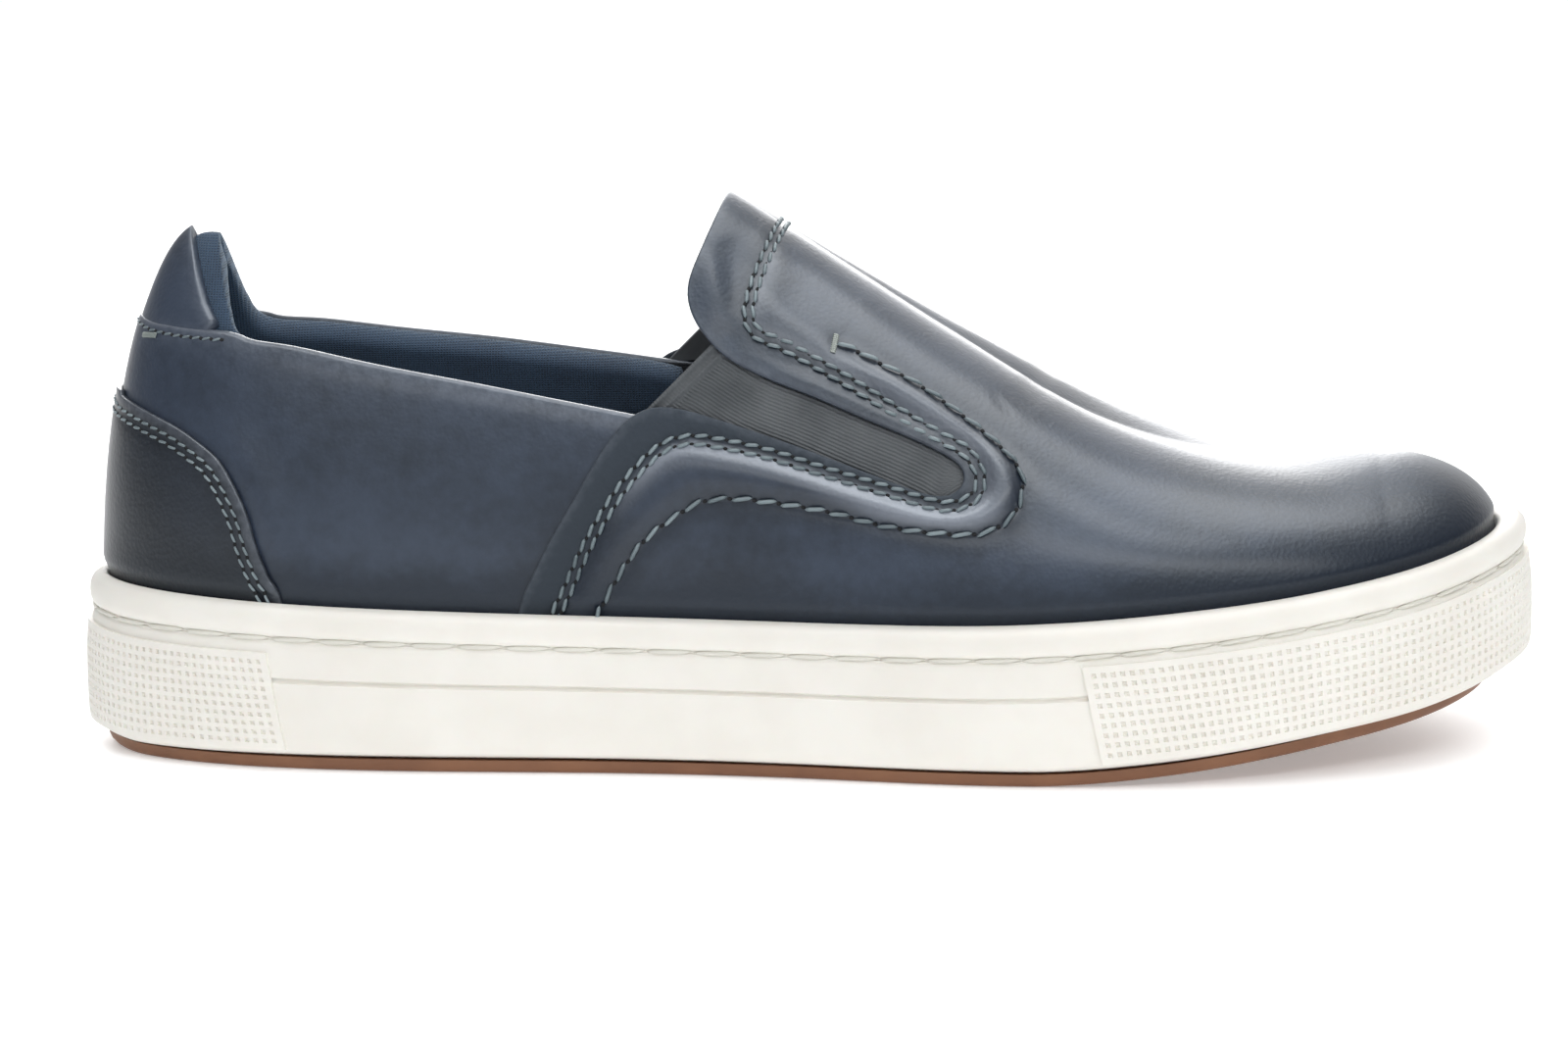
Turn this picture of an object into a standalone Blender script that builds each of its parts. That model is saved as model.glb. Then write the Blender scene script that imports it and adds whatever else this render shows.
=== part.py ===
"""Slip-on leather shoe on a stitched cupsole: a right shoe, metres, +X toe, -Y outer side, +Z up.

Everything is worked out from the sizes below and from short tables whose rows are stations
along the foot.  Stations are shares of LENGTH, widths are shares of BALL_WIDTH, and heights
are shares of the height scale at their station, or of SOLE_HEIGHT for the sole.
"""
import bpy
import bmesh
import numpy as np

# Driving sizes, metres
LENGTH = 0.300
BALL_WIDTH = 0.108
HEEL_HEIGHT = 0.1090
INSTEP_HEIGHT = 0.1142
SOLE_HEIGHT = 0.0340
OUTSOLE_THICKNESS = 0.0027
CUP_FLOOR = 0.0120
INSOLE_THICKNESS = 0.0040
LEATHER = 0.0011
WALL = 0.0022
TAB_LEATHER = 0.0016
GORE_THICKNESS = 0.0012
LINING_PAD = 0.0060
GAP = 0.0003

# How many samples go along one side of the foot, and the rows from feather line to ridge, degrees
SIDE_STEPS = 38
ROWS = (0.0, 11.0, 22.0, 33.0, 44.0, 55.0, 66.0, 78.0, 90.0)
# Step in station over which the ridge's slope is read
SLOPE_STEP = 0.004

# Level of each layer, measured outward from the outer face of the vamp
LEVEL_BASE = -(LEATHER + GAP)
LEVEL_INNER = LEVEL_BASE - WALL
LEVEL_CUP = LEVEL_BASE + GAP
LEVEL_TAB = LEVEL_BASE - 0.0009
LEVEL_LINING = LEVEL_TAB - TAB_LEATHER - GAP

# Sole outline: station, outer side, inner side
PLAN = (
    (0.020, 0.1608, 0.1492),
    (0.070, 0.2691, 0.2581),
    (0.150, 0.3408, 0.3249),
    (0.260, 0.3724, 0.3450),
    (0.380, 0.3850, 0.3428),
    (0.500, 0.4280, 0.3679),
    (0.610, 0.4900, 0.4257),
    (0.700, 0.5060, 0.4900),
    (0.790, 0.4740, 0.5000),
    (0.870, 0.4020, 0.4540),
    (0.940, 0.2820, 0.3720),
    (0.982, 0.1500, 0.2720),
)
TOE_TIP = 0.066

# Sole in side view: station, underside of the outsole, rim (shares of SOLE_HEIGHT)
SOLE_SIDE = (
    (0.00, 0.044, 1.074),
    (0.05, 0.000, 1.044),
    (0.12, 0.000, 1.012),
    (0.25, 0.000, 0.971),
    (0.40, 0.000, 0.941),
    (0.55, 0.000, 0.935),
    (0.66, 0.000, 0.956),
    (0.76, 0.056, 1.012),
    (0.86, 0.174, 1.100),
    (0.94, 0.291, 1.218),
    (1.00, 0.456, 1.368),
)

# Wall of the cupsole, bottom to rim: share of its height, inset in metres, side groove, pad
CUP_WALL = (
    (0.00, 0.0016, 0.0, 0.0),
    (0.07, 0.0003, 0.0, 1.0),
    (0.475, 0.0000, 0.0, 1.0),
    (0.50, 0.0001, 1.0, 1.0),
    (0.525, 0.0001, 0.0, 1.0),
    (0.74, 0.0006, 0.0, 1.0),
    (0.755, 0.0016, 0.0, 0.0),
    (0.79, 0.0024, 0.0, 0.0),
    (0.825, 0.0014, 0.0, 0.0),
    (0.93, 0.0014, 0.0, 0.0),
    (1.00, 0.0029, 0.0, 0.0),
)
PAD_HEIGHT = 0.0009
HEEL_PAD_END = 0.135
TOE_PAD_START = 0.685
GROOVE_DEPTH = 0.0006
OUTSOLE_INSET = ((0.00, 0.0042), (0.10, 0.0030), (0.50, 0.0025), (0.85, 0.0040), (1.00, 0.0085))

# Feather line: how far the upper stands in from the sole outline, and below the rim
FEATHER_HEEL = 0.0040
FEATHER_TOE = 0.0060
FEATHER_DROP = 0.0060

# Ridge of the last: station, height, shift to the inner side, roundness of the section
RIDGE = (
    (0.094, 1.000, 0.000, 2.06),
    (0.200, 1.040, 0.005, 2.02),
    (0.320, 1.068, 0.014, 2.00),
    (0.440, 1.017, 0.028, 2.00),
    (0.500, 0.919, 0.032, 2.00),
    (0.600, 0.747, 0.037, 2.05),
    (0.700, 0.588, 0.042, 2.15),
    (0.780, 0.525, 0.046, 2.25),
    (0.870, 0.519, 0.056, 2.35),
)

# Side-view lines of the upper: station, height
BACK_LINE = ((-0.040, 0.842), (0.030, 0.838), (0.053, 0.822), (0.070, 0.816), (0.092, 0.813), (0.112, 0.812))
TAB_FRONT = (
    (0.088, 1.110), (0.083, 1.010), (0.085, 0.975), (0.088, 0.945), (0.0925, 0.900),
    (0.096, 0.864), (0.100, 0.846), (0.106, 0.832), (0.112, 0.822),
)
COLLAR_LINE = (
    (0.122, 0.806), (0.132, 0.797), (0.164, 0.784), (0.219, 0.748), (0.286, 0.706),
    (0.337, 0.673), (0.392, 0.640),
)
WING_LEG = (
    (0.310, 0.120), (0.317, 0.287), (0.330, 0.366), (0.340, 0.419), (0.354, 0.479),
    (0.367, 0.539), (0.381, 0.595), (0.394, 0.634), (0.404, 0.647), (0.414, 0.654),
)
GORE_LOW = ((0.434, 0.645), (0.474, 0.614), (0.514, 0.580), (0.554, 0.544), (0.590, 0.512), (0.606, 0.501))
GORE_TIP = ((0.6163, 0.505), (0.6228, 0.520), (0.6246, 0.538), (0.6205, 0.556))
GORE_HIGH = ((0.605, 0.577), (0.584, 0.601), (0.552, 0.633), (0.520, 0.667), (0.488, 0.698), (0.461, 0.730))
TONGUE_BACK = (
    (0.4490, 0.758), (0.4377, 0.796), (0.4330, 0.824), (0.4313, 0.856), (0.4347, 0.881),
    (0.4400, 0.912), (0.4470, 0.959), (0.4517, 0.987), (0.4550, 1.010), (0.4600, 1.110),
)
COUNTER_TOP = (
    (-0.040, 0.688), (0.027, 0.684), (0.032, 0.675), (0.048, 0.661), (0.064, 0.646), (0.079, 0.630),
    (0.094, 0.607), (0.109, 0.577), (0.119, 0.538), (0.130, 0.477), (0.137, 0.413), (0.145, 0.359),
    (0.153, 0.313), (0.160, 0.120),
)
# The inner side stands a little higher: station, lift
INNER_LIFT = (
    (0.00, 0.000), (0.16, 0.000), (0.29, 0.019), (0.34, 0.026),
    (0.42, 0.034), (0.55, 0.024), (0.66, 0.010), (1.00, 0.000),
)

# Blind grooves in the tread: station, half length (share of BALL_WIDTH), shift to the inner side
TREAD = (
    (0.085, 0.200, 0.000), (0.135, 0.240, 0.000), (0.185, 0.255, 0.000),
    (0.600, 0.300, -0.030), (0.655, 0.330, -0.020), (0.710, 0.340, 0.000), (0.765, 0.330, 0.010),
)
TREAD_DEPTH = 0.0012
TREAD_WIDTH = 0.0040

COLOURS = {
    "gum": (0.30, 0.12, 0.055, 1.0),
    "rubber": (0.80, 0.78, 0.72, 1.0),
    "navy": (0.030, 0.045, 0.085, 1.0),
    "elastic": (0.035, 0.038, 0.045, 1.0),
    "knit": (0.022, 0.035, 0.065, 1.0),
    "footbed": (0.020, 0.026, 0.045, 1.0),
}


def table(x, rows, column, flat=False):
    """One column of a table read at x by a smooth cubic through its rows.

    With flat set, a run of equal rows stays level right up to its ends.
    """
    data = np.asarray(rows, float)
    xs = data[:, 0]
    ys = data[:, column]
    step = np.diff(xs)
    slope = np.diff(ys) / step
    tangent = np.empty_like(ys)
    tangent[1:-1] = (slope[:-1] * step[1:] + slope[1:] * step[:-1]) / (step[1:] + step[:-1])
    tangent[0] = slope[0]
    tangent[-1] = slope[-1]
    if flat:
        tangent[1:-1] = np.where(slope[:-1] * slope[1:] > 0.0, tangent[1:-1], 0.0)
    i = np.clip(np.searchsorted(xs, x, side="right") - 1, 0, len(xs) - 2)
    h = step[i]
    u = np.clip((x - xs[i]) / h, 0.0, 1.0)
    start = (1 + 2 * u) * (1 - u) ** 2 * ys[i] + u * (1 - u) ** 2 * h * tangent[i]
    end = u * u * (3 - 2 * u) * ys[i + 1] + u * u * (u - 1) * h * tangent[i + 1]
    return start + end


def closed_curve(points, count):
    """A closed cubic spline through points, given back as count points in the parameter."""
    p = np.asarray(points, float)
    n = len(p)
    chord = np.linalg.norm(np.roll(p, -1, 0) - p, axis=1)
    before = np.roll(chord, 1)
    matrix = np.diag(2 * (before + chord))
    rows = np.arange(n)
    matrix[rows, (rows - 1) % n] += before
    matrix[rows, (rows + 1) % n] += chord
    rise = (np.roll(p, -1, 0) - p) / chord[:, None]
    bend = np.linalg.solve(matrix, 6 * (rise - np.roll(rise, 1, 0)))
    knots = np.concatenate([[0.0], np.cumsum(chord)])
    t = np.linspace(0.0, knots[-1], count, endpoint=False)
    i = np.clip(np.searchsorted(knots, t, side="right") - 1, 0, n - 1)
    j = (i + 1) % n
    h = chord[i][:, None]
    a = (t - knots[i])[:, None]
    b = h - a
    curve = (bend[i] * b ** 3 + bend[j] * a ** 3) / (6 * h)
    return curve + (p[i] / h - bend[i] * h / 6) * b + (p[j] / h - bend[j] * h / 6) * a


def along_curve(curve, shares):
    """An open plane curve, and anything carried with it, read at shares of its length."""
    length = np.concatenate([[0.0], np.cumsum(np.linalg.norm(np.diff(curve[:, :2], axis=0), axis=1))])
    want = np.asarray(shares) * length[-1]
    return np.stack([np.interp(want, length, curve[:, k]) for k in range(curve.shape[1])], -1)


def evenly(curve, count):
    """An open curve read at count evenly spaced points."""
    return along_curve(curve, np.linspace(0.0, 1.0, count))


def plan_ring():
    """The sole outline as a ring: heel, outer side, toe, inner side; with its outward normals.

    Also gives the samples between which the heel pad ends and the toe pad starts.
    """
    rows = np.asarray(PLAN)
    outer = np.stack([rows[:, 0] * LENGTH, -rows[:, 1] * BALL_WIDTH], -1)
    inner = np.stack([rows[::-1, 0] * LENGTH, rows[::-1, 2] * BALL_WIDTH], -1)
    knots = np.vstack([[[0.0, 0.0]], outer, [[LENGTH, TOE_TIP * BALL_WIDTH]], inner])
    dense = closed_curve(knots, 6000)
    along = np.roll(dense, -1, 0) - np.roll(dense, 1, 0)
    along /= np.linalg.norm(along, axis=1)[:, None]
    dense = np.column_stack([dense, along[:, 1], -along[:, 0]])
    dense = np.roll(dense, -int(dense[:, 0].argmin()), 0)
    tip = int(dense[:, 0].argmax())
    near = dense[:tip + 1]
    far = np.vstack([dense[:1], dense[:tip - 1:-1]])
    shares = np.linspace(0.0, 1.0, SIDE_STEPS + 1)
    pads = []
    for station in (HEEL_PAD_END, TOE_PAD_START):
        share = np.argmin(np.abs(near[:, 0] - station * LENGTH)) / (len(near) - 1)
        k = int(np.searchsorted(shares, share)) - 1
        shares[k] = share - 0.0012
        shares[k + 1] = share + 0.0012
        pads.append(k)
    outer = along_curve(near, shares)
    inner = along_curve(far, shares)
    ring = np.vstack([outer, inner[-2:0:-1]])
    side = np.minimum(np.arange(len(ring)), len(ring) - np.arange(len(ring)))
    pad = (side <= pads[0]) | (side > pads[1])
    return ring[:, :2], ring[:, 2:], pad


def height_scale(station):
    """Height scale of the upper: HEEL_HEIGHT at the heel, easing to INSTEP_HEIGHT at the instep."""
    u = np.clip((station - 0.10) / 0.35, 0.0, 1.0)
    return HEEL_HEIGHT + (INSTEP_HEIGHT - HEEL_HEIGHT) * u * u * (3 - 2 * u)


def underside(x):
    """Height of the outsole's underside at x."""
    return table(x / LENGTH, SOLE_SIDE, 1, flat=True) * SOLE_HEIGHT


def rim(x):
    """Height of the sole's rim at x."""
    return table(x / LENGTH, SOLE_SIDE, 2) * SOLE_HEIGHT


def cup_floor(x):
    """Height of the floor inside the cupsole at x."""
    return underside(x) + CUP_FLOOR


class Last:
    """The upper's own surface: columns that rise from the feather line to the ridge."""

    def __init__(self):
        ring, normal, pad = plan_ring()
        self.ring = ring
        self.normal = normal
        self.pad = pad
        share = ring[:, 0] / LENGTH
        inset = FEATHER_HEEL + (FEATHER_TOE - FEATHER_HEEL) * share
        self.feather = ring - normal * inset[:, None]
        side = np.arange(SIDE_STEPS + 1)
        inner = (2 * SIDE_STEPS - side) % (2 * SIDE_STEPS)
        paired = (share[side] + share[inner]) / 2
        paired = (paired - paired[0]) / (paired[-1] - paired[0])
        mate = np.minimum(np.arange(2 * SIDE_STEPS), 2 * SIDE_STEPS - np.arange(2 * SIDE_STEPS))
        self.station = RIDGE[0][0] + (RIDGE[-1][0] - RIDGE[0][0]) * paired[mate]

    def ridge_height(self, station):
        """Height of the ridge at a station."""
        return table(station, RIDGE, 1) * height_scale(station)

    def columns(self, angles, level=0.0):
        """Points of every column at the given angles, feather line (0) to ridge (a right angle).

        Each column is a quarter of a superellipse whose corner is the feather point and whose
        top is the ridge point of the same station.  A level moves the feather point along the
        outline's normal and the ridge along its own, so two levels lie an even distance apart.
        """
        foot = self.feather + self.normal * level
        ahead = self.ridge_height(self.station + SLOPE_STEP)
        behind = self.ridge_height(self.station - SLOPE_STEP)
        slope = (ahead - behind) / (2 * SLOPE_STEP * LENGTH)
        low = (rim(self.feather[:, 0]) - FEATHER_DROP)[:, None]
        top_x = (self.station * LENGTH)[:, None]
        top_y = (table(self.station, RIDGE, 2) * BALL_WIDTH)[:, None]
        top_z = (self.ridge_height(self.station) + level * np.sqrt(1.0 + slope ** 2))[:, None]
        power = 2.0 / table(self.station, RIDGE, 3)[:, None]
        rise = np.clip(np.sin(angles), 0.0, 1.0)[None, :] ** power
        across = 1.0 - np.clip(np.cos(angles), 0.0, 1.0)[None, :] ** power
        x = foot[:, :1] + (top_x - foot[:, :1]) * across
        y = foot[:, 1:] + (top_y - foot[:, 1:]) * across
        z = low + (top_z - low) * rise
        return np.stack([x, y, z], -1)

    def form(self, level, low):
        """Closed solid bounded by the surface at a level; low(x) is the height of its underside."""
        count = 2 * SIDE_STEPS
        rows = len(ROWS)
        skin = self.columns(np.radians(ROWS), level)
        foot = skin[:, 0].copy()
        base = foot.copy()
        base[:, 2] = low(base[:, 0])
        body = skin[:, :-1].reshape(-1, 3)
        index = np.arange(count)
        mate = np.minimum(index, count - index)
        ridge = skin[:SIDE_STEPS + 1, -1]
        verts = np.vstack([base, body, ridge])
        start = count + index * (rows - 1)
        top = count + count * (rows - 1) + mate
        nxt = (index + 1) % count
        faces = [(int(i), int(j), int(start[j]), int(start[i])) for i, j in zip(index, nxt)]
        for r in range(rows - 2):
            a = start + r
            faces += [(int(a[i]), int(a[j]), int(a[j] + 1), int(a[i] + 1)) for i, j in zip(index, nxt)]
        for i, j in zip(index, nxt):
            quad = (int(start[i] + rows - 2), int(start[j] + rows - 2), int(top[j]), int(top[i]))
            faces.append(tuple(dict.fromkeys(quad)))
        faces += ladder(0, SIDE_STEPS, flip=True)
        return verts, faces


def ladder(first, side, flip=False):
    """Faces that close a ring by joining each outer sample to its inner partner."""
    count = 2 * side
    faces = []
    for k in range(side):
        a = first + k
        b = first + k + 1
        c = first + (count - k - 1) % count
        d = first + (count - k) % count
        quad = tuple(dict.fromkeys((a, b, c, d)))
        faces.append(quad[::-1] if flip else quad)
    return faces


def make_object(name, verts, faces, colour=None):
    """A mesh object from points and faces, its faces turned outward."""
    mesh = bpy.data.meshes.new(name)
    mesh.from_pydata([tuple(v) for v in np.asarray(verts)], [], faces)
    body = bmesh.new()
    body.from_mesh(mesh)
    bmesh.ops.remove_doubles(body, verts=body.verts[:], dist=1e-6)
    bmesh.ops.recalc_face_normals(body, faces=body.faces[:])
    body.to_mesh(mesh)
    body.free()
    item = bpy.data.objects.new(name, mesh)
    bpy.context.scene.collection.objects.link(item)
    if colour:
        paint(item, colour)
    return item


def paint(item, colour):
    """Give an object its own Principled material."""
    material = bpy.data.materials.new(item.name + "_finish")
    material.use_nodes = True
    shader = material.node_tree.nodes["Principled BSDF"]
    shader.inputs["Base Color"].default_value = COLOURS[colour]
    shader.inputs["Roughness"].default_value = 0.35 if colour == "navy" else 0.65
    material.diffuse_color = COLOURS[colour]
    item.data.materials.clear()
    item.data.materials.append(material)


def combine(target, cutter, operation):
    """Apply one exact Boolean to target and remove the cutter."""
    modifier = target.modifiers.new("cut", "BOOLEAN")
    modifier.solver = "EXACT"
    modifier.operation = operation
    modifier.object = cutter
    graph = bpy.context.evaluated_depsgraph_get()
    mesh = bpy.data.meshes.new_from_object(target.evaluated_get(graph))
    target.modifiers.remove(modifier)
    old = target.data
    target.data = mesh
    bpy.data.meshes.remove(old)
    bpy.data.objects.remove(cutter, do_unlink=True)
    return target


def tidy(item):
    """Merge doubled points, clear needle faces and leave triangles."""
    body = bmesh.new()
    body.from_mesh(item.data)
    bmesh.ops.remove_doubles(body, verts=body.verts[:], dist=2e-5)
    bmesh.ops.dissolve_degenerate(body, edges=body.edges[:], dist=1e-6)
    bmesh.ops.triangulate(body, faces=body.faces[:])
    bmesh.ops.recalc_face_normals(body, faces=body.faces[:])
    body.to_mesh(item.data)
    body.free()
    return item


def side_line(rows):
    """Side-view line in metres from table rows of station and height share."""
    data = np.asarray(rows, float)
    return np.stack([data[:, 0] * LENGTH, data[:, 1] * height_scale(data[:, 0])], -1)


def smooth_line(points, count):
    """A smooth open curve through points by Catmull-Rom pieces, evenly spaced."""
    p = np.asarray(points, float)
    ends = np.vstack([2 * p[0] - p[1], p, 2 * p[-1] - p[-2]])
    u = np.linspace(0.0, 1.0, 9)[:-1, None]
    pieces = []
    for a, b, c, d in zip(ends[:-3], ends[1:-2], ends[2:-1], ends[3:]):
        cubic = (2 * a - 5 * b + 4 * c - d) * u ** 2 + (3 * b - a - 3 * c + d) * u ** 3
        pieces.append(0.5 * (2 * b + (c - a) * u + cubic))
    return evenly(np.vstack(pieces + [p[-1:]]), count)


def shifted(line, amount):
    """A side-view line moved to its left by amount."""
    along = np.gradient(line, axis=0)
    along /= np.linalg.norm(along, axis=1)[:, None]
    return line + np.stack([-along[:, 1], along[:, 0]], -1) * amount


def prism(name, outline, reach=0.09, lift=True, sides=(-1, 1)):
    """Side-view outline carried across the shoe; the inner side is lifted by INNER_LIFT."""
    flat = np.asarray(outline)
    scale = height_scale(flat[:, 0] / LENGTH)
    rise = table(np.clip(flat[:, 0] / LENGTH, 0.0, 1.0), INNER_LIFT, 1) * scale
    share = flat[:, 1] / scale
    fade = np.clip((0.90 - share) / 0.12, 0.0, 1.0) * np.clip((share - 0.33) / 0.12, 0.0, 1.0)
    raised = flat + np.stack([np.zeros(len(flat)), rise * fade], -1)
    if not lift:
        raised = flat
    near = -1 in sides
    far = 1 in sides
    stations = []
    if near:
        stations += [(-reach, flat), (-0.006, flat)]
    if far:
        stations += [(0.006, raised), (reach, raised)]
    n = len(flat)
    verts = np.vstack([np.column_stack([s[:, 0], np.full(n, y), s[:, 1]]) for y, s in stations])
    faces = []
    for k in range(len(stations) - 1):
        a = k * n
        faces += [(a + i, a + (i + 1) % n, a + n + (i + 1) % n, a + n + i) for i in range(n)]
    faces.append(tuple(range(n))[::-1])
    last = (len(stations) - 1) * n
    faces.append(tuple(range(last, last + n)))
    item = make_object(name, verts, faces)
    item.hide_render = True
    item.display_type = "WIRE"
    return item


def loop(*lines):
    """Side-view lines joined head to tail into one outline."""
    return np.vstack(lines)


def opening_lines():
    """The visible edges of the upper: collar, wing leg, gore slot and back edge of the tongue."""
    collar = smooth_line(side_line(COLLAR_LINE), 18)
    leg = smooth_line(side_line(WING_LEG), 18)
    slot = smooth_line(side_line(GORE_LOW + GORE_TIP + GORE_HIGH), 34)
    tongue = smooth_line(side_line(TONGUE_BACK), 22)
    return collar, leg, slot, tongue


def far_corner(*shares):
    """Corner points well outside the shoe, as (station, share of INSTEP_HEIGHT)."""
    return np.array([(s * LENGTH, h * INSTEP_HEIGHT) for s, h in shares])


SLOT_MARGIN = 0.0030


def build_upper(last):
    """Quarter and lining board of the whole upper: one hollow shell, open at collar and gores."""
    upper = shell(last, "upper", LEVEL_BASE, WALL)
    collar, leg, slot, tongue = opening_lines()
    back = smooth_line(side_line(BACK_LINE), 14)
    wide = shifted(slot, -SLOT_MARGIN)
    inner_tongue = tongue[4:] + np.array([0.0008, 0.0])
    outline = loop(back, collar, wide, inner_tongue, far_corner((0.46, 1.5), (-0.04, 1.5)))
    combine(upper, prism("opening_cutter", outline), "DIFFERENCE")
    paint(upper, "navy")
    return tidy(upper)


def shell(last, name, level, thickness):
    """Hollow shell of one thickness under a level of the last, open underneath."""
    skin = make_object(name, *last.form(level, lambda x: cup_floor(x) + 2 * GAP))
    core = make_object(name + "_core", *last.form(level - thickness, lambda x: cup_floor(x) - 0.006))
    return combine(skin, core, "DIFFERENCE")


def overlay(last, name, outline, lift=True):
    """A thin layer of leather over the upper, cut to a side-view outline, ending above the rim."""
    layer = shell(last, name, 0.0, LEATHER)
    combine(layer, prism(name + "_cutter", outline, lift=lift), "INTERSECT")
    below = [
        inset_ring(last, -0.010, lambda v: -0.020 + 0 * v),
        inset_ring(last, -0.010, lambda v: rim(v) + 1.5 * GAP),
    ]
    combine(layer, ring_body(name + "_foot", below, None), "DIFFERENCE")
    paint(layer, "navy")
    return tidy(layer)


def build_vamp(last):
    """Vamp with its wings and tongue in one piece, over the front of the upper."""
    collar, leg, slot, tongue = opening_lines()
    outline = loop(leg, slot, tongue, far_corner((0.47, 1.5), (1.10, 1.5), (1.10, 0.12)))
    return overlay(last, "vamp", outline)


def build_counter(last):
    """Heel counter cover around the back."""
    outline = loop(smooth_line(side_line(COUNTER_TOP), 26), far_corner((-0.04, 0.12)))
    return overlay(last, "heel_counter", outline, lift=False)


def build_tab(last):
    """Pull tab that rises above the quarter at the back."""
    tab = shell(last, "heel_tab", LEVEL_TAB, TAB_LEATHER)
    back = shifted(smooth_line(side_line(BACK_LINE), 14), GAP * 1.2)
    front = smooth_line(side_line(TAB_FRONT), 16)[::-1]
    outline = loop(back[back[:, 0] < front[0, 0] - 0.0005], front, far_corner((-0.04, 1.06)))
    combine(tab, prism("tab_cutter", outline, lift=False), "INTERSECT")
    paint(tab, "navy")
    return tidy(tab)


def build_gore(last, name, side):
    """Elastic gore on one side (-1 outer, 1 inner), lying in the upper's slot under the vamp."""
    gore = shell(last, name, LEVEL_BASE, GORE_THICKNESS)
    slot = opening_lines()[2]
    outline = shifted(slot, -(SLOT_MARGIN - 1.3 * GAP))
    combine(gore, prism(name + "_cutter", outline, sides=(side,)), "INTERSECT")
    paint(gore, "elastic")
    return tidy(gore)


# Section of the padded lining: drop below its edge, depth inward (shares of LINING_PAD)
LINING_SECTION = (
    (0.20, 0.00), (-0.10, 0.25), (-0.10, 0.60), (0.25, 0.92), (1.10, 1.00), (2.40, 0.78),
    (3.80, 0.50), (4.30, 0.36), (4.20, 0.08), (2.20, 0.00),
)


def build_lining(last):
    """Padded collar lining: one section carried round the collar inside the upper."""
    angles = np.radians(np.linspace(0.0, 90.0, 181))
    columns = last.columns(angles, LEVEL_LINING)
    tab = side_line(TAB_FRONT)
    collar = side_line(COLLAR_LINE)
    edge = smooth_line(np.vstack([tab[1:-1], collar]), 160)
    station = columns[..., 0]
    scale = height_scale(station / LENGTH)
    lift = table(np.clip(station / LENGTH, 0, 1), INNER_LIFT, 1) * scale * (columns[..., 1] > 0)
    order = np.argsort(edge[:, 0])
    limit = np.interp(station, edge[order, 0], edge[order, 1]) + lift
    limit = np.where(station < edge[:, 0].min(), 1.0, limit)
    above = columns[..., 2] > limit
    first = np.where(above.any(1), above.argmax(1), len(angles) - 1)
    count = 2 * SIDE_STEPS
    reach = 0.425 * LENGTH
    outer = [k for k in range(SIDE_STEPS) if columns[k, first[k], 0] < reach]
    keep = outer[::-1] + [count - k for k in outer[1:]]
    top = np.array([first[k] for k in keep], float)
    soft = top.copy()
    for _ in range(6):
        soft[1:-1] = (soft[:-2] + 2 * soft[1:-1] + soft[2:]) / 4
    steps = np.arange(len(angles))
    z_top = np.array([np.interp(peak, steps, columns[k, :, 2]) for k, peak in zip(keep, soft)])
    strips = []
    for drop, depth in LINING_SECTION:
        layer = last.columns(angles, LEVEL_LINING - depth * LINING_PAD)[keep]
        z = np.minimum(z_top - drop * LINING_PAD - 0.0004, layer[:, 160, 2] - 0.0002 * drop)
        strips.append(np.array([
            [np.interp(h, row[:, 2], row[:, c]) for c in range(3)] for h, row in zip(z, layer)
        ]))
    rings = np.stack(strips, 1).reshape(-1, 3)
    m = len(LINING_SECTION)
    faces = []
    for r in range(len(keep) - 1):
        faces += [(r * m + i, r * m + (i + 1) % m, (r + 1) * m + (i + 1) % m, (r + 1) * m + i) for i in range(m)]
    faces.append(tuple(range(m))[::-1])
    faces.append(tuple(range((len(keep) - 1) * m, len(keep) * m)))
    return tidy(make_object("collar_lining", rings, faces, "knit"))


def ring_body(name, rings, colour):
    """A closed body from rings of samples, its first and last rings closed by ladders."""
    count = 2 * SIDE_STEPS
    verts = np.vstack(rings)
    faces = []
    for r in range(len(rings) - 1):
        a = r * count
        faces += [(a + i, a + (i + 1) % count, a + count + (i + 1) % count, a + count + i) for i in range(count)]
    faces += ladder(0, SIDE_STEPS, flip=True)
    faces += ladder((len(rings) - 1) * count, SIDE_STEPS)
    return tidy(make_object(name, verts, faces, colour))


def inset_ring(last, inset, height):
    """The sole outline moved inward by inset, each point at height(x) of that ring."""
    plan = last.ring - last.normal * np.broadcast_to(inset, (len(last.ring),))[:, None]
    return np.column_stack([plan, height(plan[:, 0])])


def build_cupsole(last):
    """Cupsole: stepped and grooved side wall, rolled rim, inner wall and floor."""
    pad = last.pad
    base = lambda v: underside(v) + OUTSOLE_THICKNESS + GAP
    rings = []
    for share, inset, groove, raised in CUP_WALL:
        depth = inset + PAD_HEIGHT - PAD_HEIGHT * raised * pad + GROOVE_DEPTH * groove * ~pad
        depth = depth - np.where(raised > 0, 0.0, PAD_HEIGHT)
        rings.append(inset_ring(last, depth, lambda v: base(v) + (rim(v) - base(v)) * share))
    wall = np.linalg.norm(last.ring - last.feather, axis=1) - LEVEL_CUP
    floor = inset_ring(last, wall, cup_floor)
    rings.append(inset_ring(last, wall - 0.0004, rim))
    rings.append(inset_ring(last, wall, lambda v: rim(v) - 0.0005))
    rings.append(floor)
    return ring_body("cupsole", rings, "rubber")


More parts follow.
